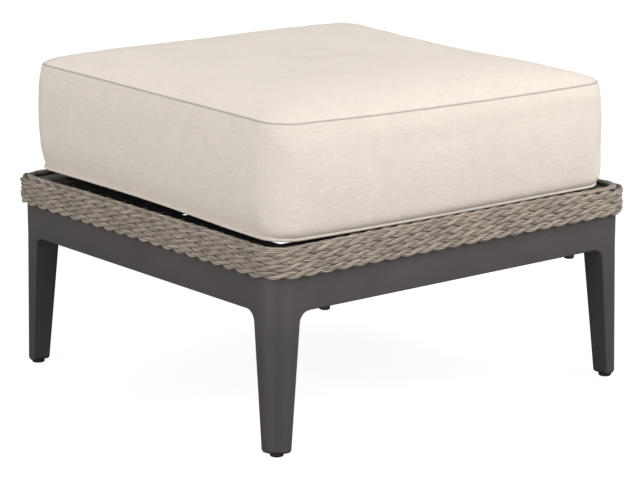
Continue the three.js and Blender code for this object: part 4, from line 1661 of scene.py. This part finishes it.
@dataclass
class BoxCushion:
    """A box cushion with a crowned top, drawn-in sides, a sewn top seam and a piped lower one."""

    shop: Workshop
    corner_radius: float = 38 * MM
    bulge: float = 7 * MM
    lower_tuck: float = 3 * MM
    side_pull: float = 3 * MM
    crown_power: float = 6.0
    back_crown_power: float = 10.0
    belly_power: float = 5.0
    profile_power: float = 3.2
    front_lower_power: float = 14.0
    right_sag: float = 6 * MM
    right_sag_from: float = 20 * MM
    seam_depth: float = 1.8 * MM
    seam_width: float = 1.3 * MM
    corner_steps: int = 16
    side_steps: int = 58
    seam_rows: tuple[float, ...] = mm(0.8, 1.8, 3.5, 7, 12, 18)
    panel_rows: tuple[float, ...] = mm(27, 38, 52, 70, 92, 118, 148, 182, 218, 252, 280)
    row_step: float = 9 * MM
    middle_merge: float = 7 * MM
    shift: float = -2 * MM
    welt_radius: float = 2.5 * MM
    welt_steps: int = 4
    # How much painted shade the piping gets all over.
    welt_shade: float = 0.12
    top_seam: tuple[tuple[float, float], ...] = (
        (0.0, 458 * MM),
        (0.15, 460 * MM),
        (0.5, 456 * MM),
        (0.85, 463 * MM),
        (1.0, 462.5 * MM),
        (1.5, 459 * MM),
        (1.93, 458 * MM),
        (2.05, 456.5 * MM),
        (2.25, 450.5 * MM),
        (2.5, 447 * MM),
        (2.75, 445.5 * MM),
        (2.95, 446.5 * MM),
        (3.1, 448 * MM),
        (3.5, 448 * MM),
    )
    low_seam: tuple[tuple[float, float], ...] = (
        (0.0, 300 * MM),
        (0.5, 302 * MM),
        (1.0, 306 * MM),
        (1.45, 304.3 * MM),
        (1.62, 302 * MM),
        (1.8, 298.2 * MM),
        (2.0, 297.6 * MM),
        (2.2, 293.8 * MM),
        (2.5, 291.5 * MM),
        (3.0, 293.5 * MM),
        (3.5, 297 * MM),
    )
    corner_span: float = 0.07
    ease_points: int = 12
    dents: tuple[Dent, ...] = (
        Dent(Side.FRONT, *mm(-60, 427, 190, 12, -1.7)),
        Dent(Side.FRONT, *mm(200, 429, 110, 12, -1.7)),
        Dent(Side.FRONT, *mm(0, 405, 66, 10, 1.3)),
        Dent(Side.FRONT, *mm(-120, 407, 48, 9, 0.9)),
        Dent(Side.FRONT, *mm(120, 411, 40, 9, 0.7)),
        Dent(Side.FRONT, *mm(235, 410, 44, 12, 1.2)),
        Dent(Side.FRONT, *mm(262, 380, 18, 26, -0.8)),
        Dent(Side.LEFT, *mm(0, 436, 230, 14, -1)),
        Dent(Side.LEFT, *mm(-120, 350, 80, 20, 0.8)),
        Dent(Side.LEFT, *mm(120, 385, 90, 24, 0.7)),
        Dent(Side.RIGHT, *mm(40, 427, 210, 12, -1.4)),
        Dent(Side.RIGHT, *mm(-60, 404, 80, 11, 1)),
        Dent(Side.BACK, *mm(0, 436, 240, 13, -1.2)),
    )
    dent_power: int = 3
    voxel: float = 7 * MM
    held_near: float = 7 * MM
    held_fade: float = 14 * MM
    zip_clear: float = 22 * MM
    neighbours: int = 8
    nearest: float = 1 * MM
    carried: float = 0.5
    least_moved: float = 0.001 * MM
    most_moved: float = 5 * MM
    frames: int = 20
    cloth: tuple[tuple[str, float], ...] = (
        ("quality", 5),
        ("mass", 0.25),
        ("tension_stiffness", 12.0),
        ("compression_stiffness", 12.0),
        ("shear_stiffness", 4.0),
        ("bending_stiffness", 0.3),
        ("uniform_pressure_force", 4.0),
        ("shrink_min", -0.012),
        ("pin_stiffness", 1.0),
    )
    half_x: float = field(init=False)
    half_y: float = field(init=False)
    floor_level: float = field(init=False)
    top_level: float = field(init=False)

    def __post_init__(self) -> None:
        """Take the cushion's size from the model."""
        low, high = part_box("cushion_top_panel")
        self.half_x = (high.x - low.x) / 2 + self.shift
        self.half_y = (high.y - low.y) / 2
        self.top_level = high.z
        self.floor_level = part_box("cushion_bottom_panel")[0].z

    def outline(self) -> list[OutlinePoint]:
        """The plan at the seams, from the back right corner and counterclockwise.

        Returns:
            The points.
        """
        radius = self.corner_radius
        inner_x, inner_y = self.half_x - radius, self.half_y - radius
        signs = ((1, 1), (-1, 1), (-1, -1), (1, -1))
        points = []
        for turn, (x, y) in enumerate(signs):
            for i in range(self.corner_steps + 1):
                share = i / self.corner_steps
                angle = QUARTER * (turn + share)
                outward = Vector((math.cos(angle), math.sin(angle), 0))
                place = Vector((x * inner_x, y * inner_y, 0)) + outward * radius
                points.append(OutlinePoint(place, outward, turn + (2 * share - 1) * self.corner_span, 0.0))
            start = points[-1].place
            outward = points[-1].outward
            next_x, next_y = signs[(turn + 1) % 4]
            run = Vector(((next_x - x) * inner_x, (next_y - y) * inner_y, 0))
            for i in range(1, self.side_steps):
                share = i / self.side_steps
                station = turn + self.corner_span + share * (1 - 2 * self.corner_span)
                pull = 0.0 if turn == 0 else self.side_pull * math.sin(share * math.pi)
                points.append(OutlinePoint(start + run * share, outward.copy(), station, pull))
        for point in points:
            point.place.x += self.shift
        return points

    def seam_levels(
        self, stations: Sequence[tuple[float, float]], outline: Sequence[OutlinePoint]
    ) -> np.ndarray:
        """The level of a seam at each point of the outline, eased between its stations.

        Args:
            stations: The seam's level at places round the outline.
            outline: The outline's points.

        Returns:
            The levels.
        """
        levels = np.interp([point.station for point in outline], *zip(*stations), period=4.0)
        kernel = np.hanning(2 * self.ease_points + 1)
        kernel /= kernel.sum()
        wrapped = np.concatenate([levels[-self.ease_points :], levels, levels[: self.ease_points]])
        return np.convolve(wrapped, kernel, mode="valid")

    def _side_offset(self, share: float, outward: Vector) -> float:
        """How far the side stands outside the seams.

        Args:
            share: The share of its height.
            outward: The way the side faces, because the front stays upright lower down.

        Returns:
            The offset.
        """
        if share < 0.5:
            power = blend(self.profile_power, self.front_lower_power, max(-outward.y, 0.0))
            return self.bulge - (self.bulge + self.lower_tuck) * (1 - 2 * share) ** power
        return self.bulge * (1 - (2 * share - 1) ** self.profile_power)

    def _sag(self, place: Vector) -> float:
        """How much lower the crown lies towards the right."""
        return self.right_sag * smooth((place.x - self.right_sag_from) / (self.half_x - self.right_sag_from))

    def _groove(self, distance: float) -> float:
        """How deep the sewn seam draws the cloth in at a distance from it."""
        return self.seam_depth * math.exp(-((distance / self.seam_width) ** 2))

    def dented(self, point: OutlinePoint, place: Vector) -> float:
        """How far the dents draw a point of the sides in.

        Args:
            point: The outline's point above or below it.
            place: Its place.

        Returns:
            The depth, below zero where a swell pushes it out.
        """
        depth = 0.0
        for dent in self.dents:
            x, y = dent.side.signs
            facing = max(point.outward.x * x + point.outward.y * y, 0.0)
            along = ((place.x if y else place.y) - dent.along) / dent.width
            up = (place.z - dent.level) / dent.height
            depth += dent.depth * facing**self.dent_power * math.exp(-along * along - up * up)
        return depth

    def rings(self) -> tuple[list[Ring], list[str], list[float]]:
        """The rings of the cover, from under its middle up and over to its top.

        Returns:
            The rings, the panel that each lies on, and how near each lies to the top seam.
        """
        outline = self.outline()
        high = self.seam_levels(self.top_seam, outline)
        low = self.seam_levels(self.low_seam, outline)
        tall = float(np.mean(high - low))
        inward = [*self.seam_rows, *self.panel_rows]
        rings, panels, near = [], [], []
        for distance in reversed(inward):
            share = distance / self.half_y
            level = (1 - share) ** self.belly_power
            ring = []
            for point, edge in zip(outline, low):
                spot = point.place - point.outward * (self.lower_tuck + point.pull)
                ring.append(
                    Vector((spot.x * (1 - share), spot.y * (1 - share), blend(self.floor_level, edge, level)))
                )
            rings.append(ring)
            panels.append("bottom")
            near.append(0.0)
        middle_rows = round((tall - 2 * self.seam_rows[-1]) / self.row_step)
        step = (tall - 2 * self.seam_rows[-1]) / middle_rows
        heights = [0.0, *self.seam_rows]
        heights += [self.seam_rows[-1] + step * i for i in range(1, middle_rows)]
        heights += [tall - d for d in reversed(self.seam_rows)]
        for height in [*heights, tall]:
            share = height / tall
            groove = self._groove(tall - height)
            ring = []
            for point, edge, top in zip(outline, low, high):
                offset = self._side_offset(share, point.outward) - groove * DIAGONAL
                spot = point.place + point.outward * (offset - point.pull)
                spot.z = blend(edge, top, share) - groove * DIAGONAL
                ring.append(spot)
            rings.append(ring)
            panels.append("side")
            near.append(groove / self.seam_depth)
        for distance in inward:
            share = distance / self.half_y
            groove = self._groove(distance)
            ring = []
            for point, edge in zip(outline, high):
                power = blend(self.crown_power, self.back_crown_power, max(point.outward.y, 0.0))
                level = (1 - share) ** power
                spot = point.place - point.outward * (point.pull + groove * DIAGONAL)
                spot = Vector((spot.x * (1 - share), spot.y * (1 - share), 0))
                spot.z = blend(self.top_level - self._sag(spot), edge, level) - groove * DIAGONAL
                ring.append(spot)
            rings.append(ring)
            panels.append("top")
            near.append(groove / self.seam_depth)
        return rings, panels, near

    def cover(self) -> bpy.types.Object:
        """Make the cover over its foam.

        Returns:
            The piece.
        """
        outline = self.outline()
        rings, panels, near = self.rings()
        bm = bmesh.new()
        crease = bm.verts.layers.float.new("crease")
        around = bm.verts.layers.float.new("around")
        up = bm.verts.layers.float.new("up")
        cloth = bm.loops.layers.uv.new("cloth")
        layers = loft(bm, rings)
        kinds = {}
        first, count = panels.index("side"), panels.count("side")
        edge_ring = rings[first + count // 2]
        gone = [0.0]
        for a, b in zip(edge_ring, edge_ring[1:]):
            gone.append(gone[-1] + (b - a).length)
        # Closeness to the top seam sets the painted shade in its crease.
        for layer, kind, closeness in zip(layers, panels, near):
            for i, vert in enumerate(layer):
                vert[crease] = closeness
                vert[around] = gone[i]
                vert[up] = vert.co.z
                kinds[vert] = kind
        total = gone[-1] + (edge_ring[0] - edge_ring[-1]).length
        for face in bm.faces:
            on = {kinds[v] for v in face.verts}
            side = on == {"side"} or (len(on) == 2 and sum(kinds[v] == "side" for v in face.verts) > 2)
            starts = [v[around] for v in face.verts]
            wraps = max(starts) - min(starts) > total / 2
            for loop in face.loops:
                vert = loop.vert
                run = vert[around] + (total if wraps and vert[around] < total / 2 else 0.0)
                loop[cloth].uv = (run, vert[up]) if side else (vert.co.x, vert.co.y)
        for layer in (layers[0], layers[-1]):
            bmesh.ops.remove_doubles(bm, verts=layer, dist=self.middle_merge)
        bmesh.ops.recalc_face_normals(bm, faces=bm.faces)
        for layer, kind in zip(layers, panels):
            if kind == "side":
                for vert, point in zip(layer, outline):
                    vert.co -= point.outward * self.dented(point, vert.co)
        made = self.shop.piece(
            "box_cushion_cover",
            bm,
            Slot.LINEN,
            ["cushion_core", "cushion_top_panel", "cushion_bottom_panel", "cushion_boxing"],
            Body.CUSHION.value,
        )
        self.settle(made, [*rings[first], *rings[first + count - 1]])
        finer = made.modifiers.new("finer", "SUBSURF")
        finer.levels = finer.render_levels = 1
        return made

    def settle(self, cover: bpy.types.Object, seams: Ring) -> None:
        """Let an even copy of the cover swell as cloth, and carry its wrinkles over.

        Args:
            cover: The cover.
            seams: The points of both seams, where the cloth is held.
        """
        scene = bpy.context.scene
        trial = linked("cloth_trial", cover.data.copy())
        remesh = trial.modifiers.new("even", "REMESH")
        remesh.mode = "VOXEL"
        remesh.voxel_size = self.voxel
        even = evaluated(trial)
        trial.modifiers.clear()
        trial.data = even
        start = points_of(even)
        self.hold(trial, start, seams)
        cloth = trial.modifiers.new("swell", "CLOTH")
        for name, value in self.cloth:
            setattr(cloth.settings, name, value)
        cloth.settings.use_pressure = True
        cloth.settings.vertex_group_mass = "held"
        cloth.settings.effector_weights.gravity = 0.0
        cloth.collision_settings.use_collision = False
        cloth.collision_settings.use_self_collision = False
        cloth.point_cache.frame_start = 1
        cloth.point_cache.frame_end = self.frames
        for frame in range(1, self.frames + 1):
            scene.frame_set(frame)
        graph = bpy.context.evaluated_depsgraph_get()
        moved = points_of(trial.evaluated_get(graph).to_mesh()) - start
        bpy.data.objects.remove(trial)
        scene.frame_set(1)
        moved *= self.carried
        length = np.linalg.norm(moved, axis=1)[:, None]
        moved *= np.minimum(1.0, self.most_moved / np.maximum(length, self.least_moved))
        LOG.info("cloth: %d points, moved %.1f mm at most", len(start), float(length.max()) / MM)
        self.carry(cover, start, moved)

    def hold(self, trial: bpy.types.Object, start: np.ndarray, seams: Ring) -> None:
        """Pin the cloth along the seams, over the bottom and round the zip.

        Args:
            trial: The cloth.
            start: Its points.
            seams: The points of both seams.
        """
        tree = tree_of(seams)
        margin = Vector((self.zip_clear,) * 3)
        zip_low, zip_high = (corner + sign * margin for corner, sign in zip(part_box("zip_tape"), (-1, 1)))
        held = trial.vertex_groups.new(name="held")
        for i, point in enumerate(start):
            near, _, distance = tree.find(point)
            weight = 1 - smooth((distance - self.held_near) / self.held_fade)
            under = near.z < self.floor_level + 2 * self.held_fade and point[2] < near.z + self.held_near
            zipped = all(low < value < high for low, value, high in zip(zip_low, point, zip_high))
            held.add([i], 1.0 if under or zipped else weight, "REPLACE")

    def carry(self, cover: bpy.types.Object, start: np.ndarray, moved: np.ndarray) -> None:
        """Move the cover's points as the cloth's nearest points moved.

        Args:
            cover: The cover.
            start: Where the cloth's points lay.
            moved: How far each has moved.
        """
        tree = tree_of(start)
        mesh = cover.data
        places = points_of(mesh)
        for i, point in enumerate(places):
            found = tree.find_n(point, self.neighbours)
            weights = np.array([1 / (distance + self.nearest) ** 2 for _, _, distance in found])
            steps = moved[[k for _, k, _ in found]] * weights[:, None]
            places[i] = point + steps.sum(axis=0) / weights.sum()
        mesh.vertices.foreach_set("co", places.ravel())
        mesh.update()

    def piping(self) -> None:
        """Make the piping round the lower seam."""
        outline = self.outline()
        centre = []
        for point, level in zip(outline, self.seam_levels(self.low_seam, outline)):
            inner = point.place - point.outward * (self.welt_radius / 2 + point.pull)
            centre.append((inner.x, inner.y, level, 1.0, 0.0))
        holder = laid_lines(
            "piping_line",
            [np.array(centre)],
            True,
            dimensions="3D",
            bevel_depth=self.welt_radius,
            bevel_resolution=self.welt_steps,
        )
        mesh = swept(holder)
        layer = mesh.uv_layers.new(name="cloth")
        for loop in mesh.loops:
            place = mesh.vertices[loop.vertex_index].co
            layer.data[loop.index].uv = (place.x + place.y, place.z)
        # Painted shade: the whole piping is darkened a little through the same attribute as the seam creases,
        # to tone its brightness down.
        shade = mesh.attributes.new("crease", "FLOAT", "POINT")
        shade.data.foreach_set("value", [self.welt_shade] * len(mesh.vertices))
        self.shop.piece("lower_seam_piping", mesh, Slot.LINEN, ["cushion_welt"], Body.CUSHION.value)

    def build(self) -> None:
        """Make the cushion."""
        self.cover()
        self.piping()


@dataclass
class CushionZip:
    """The zip in the back of the boxing: its tape, its teeth and its slider with a pull."""

    shop: Workshop
    proud: float = 1.0 * MM
    tooth_pitch: float = 3 * MM
    tooth_reach: float = 3.2 * MM
    tooth_width: float = 1.5 * MM
    tooth_height: float = 1.1 * MM
    bridge_width: float = 2.2 * MM
    tab_width: float = 5.5 * MM
    tab_thickness: float = 1.2 * MM
    tape_edge: float = 0.4 * MM
    tape_short: float = 10 * MM
    slider_edge: float = 0.35 * MM
    body_shares: tuple[float, float] = (0.5, 0.42)
    tooth_meet: float = 0.3

    def tape(self) -> None:
        """Make the tape with its folded lips."""
        low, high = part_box("zip_tape")
        bm = bmesh.new()
        add_box(bm, low, high + Vector((0, self.proud, 0)))
        bevel(bm, [e for e in bm.edges if e.calc_length() > self.tape_short], self.tape_edge, 2)
        lay_cloth(bm, (0, 2))
        self.shop.piece("zip_tape_band", bm, Slot.TAPE, ["zip_tape"], Body.CUSHION.value, True)

    def teeth(self) -> None:
        """Make the two rows of teeth."""
        low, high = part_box("zip_tape")
        half, reach, height = self.tooth_width / 2, self.tooth_reach / 2, self.tooth_height
        face = high.y + self.proud
        bm = bmesh.new()
        for i in range(int((high.x - low.x - 2 * self.tooth_pitch) / self.tooth_pitch)):
            x = low.x + self.tooth_pitch * (i + 1.5)
            up = 1 if i % 2 else -1
            z = (low.z + high.z) / 2 + up * self.tooth_reach * self.tooth_meet
            add_box(bm, (x - half, face - height / 2, z - reach), (x + half, face + height, z + reach))
        self.shop.piece("zip_teeth", bm, Slot.TAPE, body=Body.CUSHION.value)

    def slider(self) -> None:
        """Make the slider: a body over the teeth, a bridge on it and a pull that hangs from the bridge."""
        low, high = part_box("zip_slider")
        x = (low.x + high.x) / 2
        front, foot = blend(low.y, high.y, self.body_shares[0]), blend(low.z, high.z, self.body_shares[1])
        bridge, tab, thick = self.bridge_width / 2, self.tab_width / 2, self.tab_thickness
        bm = bmesh.new()
        add_box(bm, (low.x, low.y, foot), (high.x, front, high.z))
        add_box(bm, (x - bridge, front, foot + bridge), (x + bridge, high.y - thick / 4, high.z - bridge))
        add_box(bm, (x - tab, high.y - thick, low.z), (x + tab, high.y, high.z - self.bridge_width))
        bevel(bm, bm.edges, self.slider_edge, 2)
        self.shop.piece(
            "zip_slider_with_pull", bm, Slot.ZIP_METAL, ["zip_slider"], Body.SLIDER.value, weighted=True
        )

    def build(self) -> None:
        """Make the zip."""
        self.tape()
        self.teeth()
        self.slider()


# The studio


@dataclass
class Studio:
    """The camera at the photograph's angle, a plain pale floor and soft light."""

    camera_place: Vector = field(default_factory=lambda: Vector((-2.5360, -3.1684, 1.1873)))
    camera_aim: Vector = field(default_factory=lambda: Vector((0.00592, 0.00555, 0.1968)))
    lens: float = 157.5
    sensor: float = 36.0
    floor_size: float = 12.0
    floor_shade: float = 0.25
    floor_roughness: float = 0.9
    floor_specular: float = 0.1
    floor_glow: float = 0.88
    world_glow: float = 0.32
    box_aim: Vector = field(default_factory=lambda: Vector((0, 0, 0.25)))
    box_distance: float = 3.6
    box_size: float = 2.2
    soft_boxes: tuple[tuple[str, float, float, float], ...] = (
        ("right_soft_box", 40.0, 40.0, 80.0),
        ("left_soft_box", -90.0, 45.0, 12.0),
        ("front_fill", 0.0, 15.0, 46.0),
        ("left_fill", -80.0, 15.0, 62.0),
        ("back_soft_box", 170.0, 50.0, 30.0),
    )

    def camera(self) -> None:
        """Set the camera up."""
        data = bpy.data.cameras.new("camera")
        data.lens = self.lens
        data.sensor_width = self.sensor
        made = linked("camera", data)
        made.location = self.camera_place
        made.rotation_euler = (self.camera_aim - self.camera_place).to_track_quat("-Z", "Y").to_euler()
        bpy.context.scene.camera = made

    def floor(self) -> None:
        """Lay the pale floor, which looks evenly bright to the camera."""
        bm = bmesh.new()
        bmesh.ops.create_grid(bm, x_segments=1, y_segments=1, size=self.floor_size / 2)
        mesh = bpy.data.meshes.new("studio_floor")
        bm.to_mesh(mesh)
        bm.free()
        made = linked("studio_floor", mesh)
        material = bpy.data.materials.new("studio_floor")
        material.use_nodes = True
        graph = Graph(material.node_tree)
        shader = graph.own("BSDF_PRINCIPLED")
        shader.inputs["Base Color"].default_value = (*[self.floor_shade] * 3, 1)
        shader.inputs["Roughness"].default_value = self.floor_roughness
        shader.inputs["Specular IOR Level"].default_value = self.floor_specular
        shader.inputs["Emission Color"].default_value = (1, 1, 1, 1)
        glow = graph.sum("MULTIPLY", graph.camera_ray(), self.floor_glow)
        graph.feed(shader.inputs["Emission Strength"], glow)
        mesh.materials.append(material)

    def area(self, name: str, around: float, above: float, power: float) -> None:
        """Hang a soft box that faces the ottoman.

        Args:
            name: Its name.
            around: Its direction in degrees, from the front towards the right.
            above: Its height in degrees.
            power: Its power in watts.
        """
        data = bpy.data.lights.new(name, "AREA")
        data.shape = "SQUARE"
        data.size = self.box_size
        data.energy = power
        turn, rise = math.radians(around), math.radians(above)
        level = math.cos(rise)
        away = Vector((math.sin(turn) * level, -math.cos(turn) * level, math.sin(rise)))
        made = linked(name, data)
        made.location = self.box_aim + away * self.box_distance
        made.rotation_euler = (-away).to_track_quat("-Z", "Y").to_euler()

    def light(self) -> None:
        """Hang the lights and set the world's glow."""
        for name, around, above, power in self.soft_boxes:
            self.area(name, around, above, power)
        world = bpy.data.worlds.new("studio_world")
        world.use_nodes = True
        graph = Graph(world.node_tree)
        glow = graph.own("BACKGROUND")
        glow.inputs["Color"].default_value = (1, 1, 1, 1)
        graph.feed(glow.inputs["Strength"], graph.spread(graph.camera_ray(), 0.0, 1.0, self.world_glow))
        bpy.context.scene.world = world
        bpy.context.scene.view_settings.view_transform = "Standard"

    def build(self) -> None:
        """Make the studio."""
        self.floor()
        self.light()


def main() -> None:
    """Build the ottoman on its frame."""
    logging.basicConfig(level=logging.INFO, format="%(name)s %(message)s", stream=sys.stdout)
    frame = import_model()
    studio = Studio()
    studio.camera()
    shop = Workshop(Palette())
    base = BaseFrame(shop)
    base.build()
    SeatFrame(shop, base).build(frame["nodes"])
    Webbing(shop).build()
    RopeWinding(shop, base).build()
    BoxCushion(shop).build()
    CushionZip(shop).build()
    studio.build()


if __name__ == "__main__":
    main()
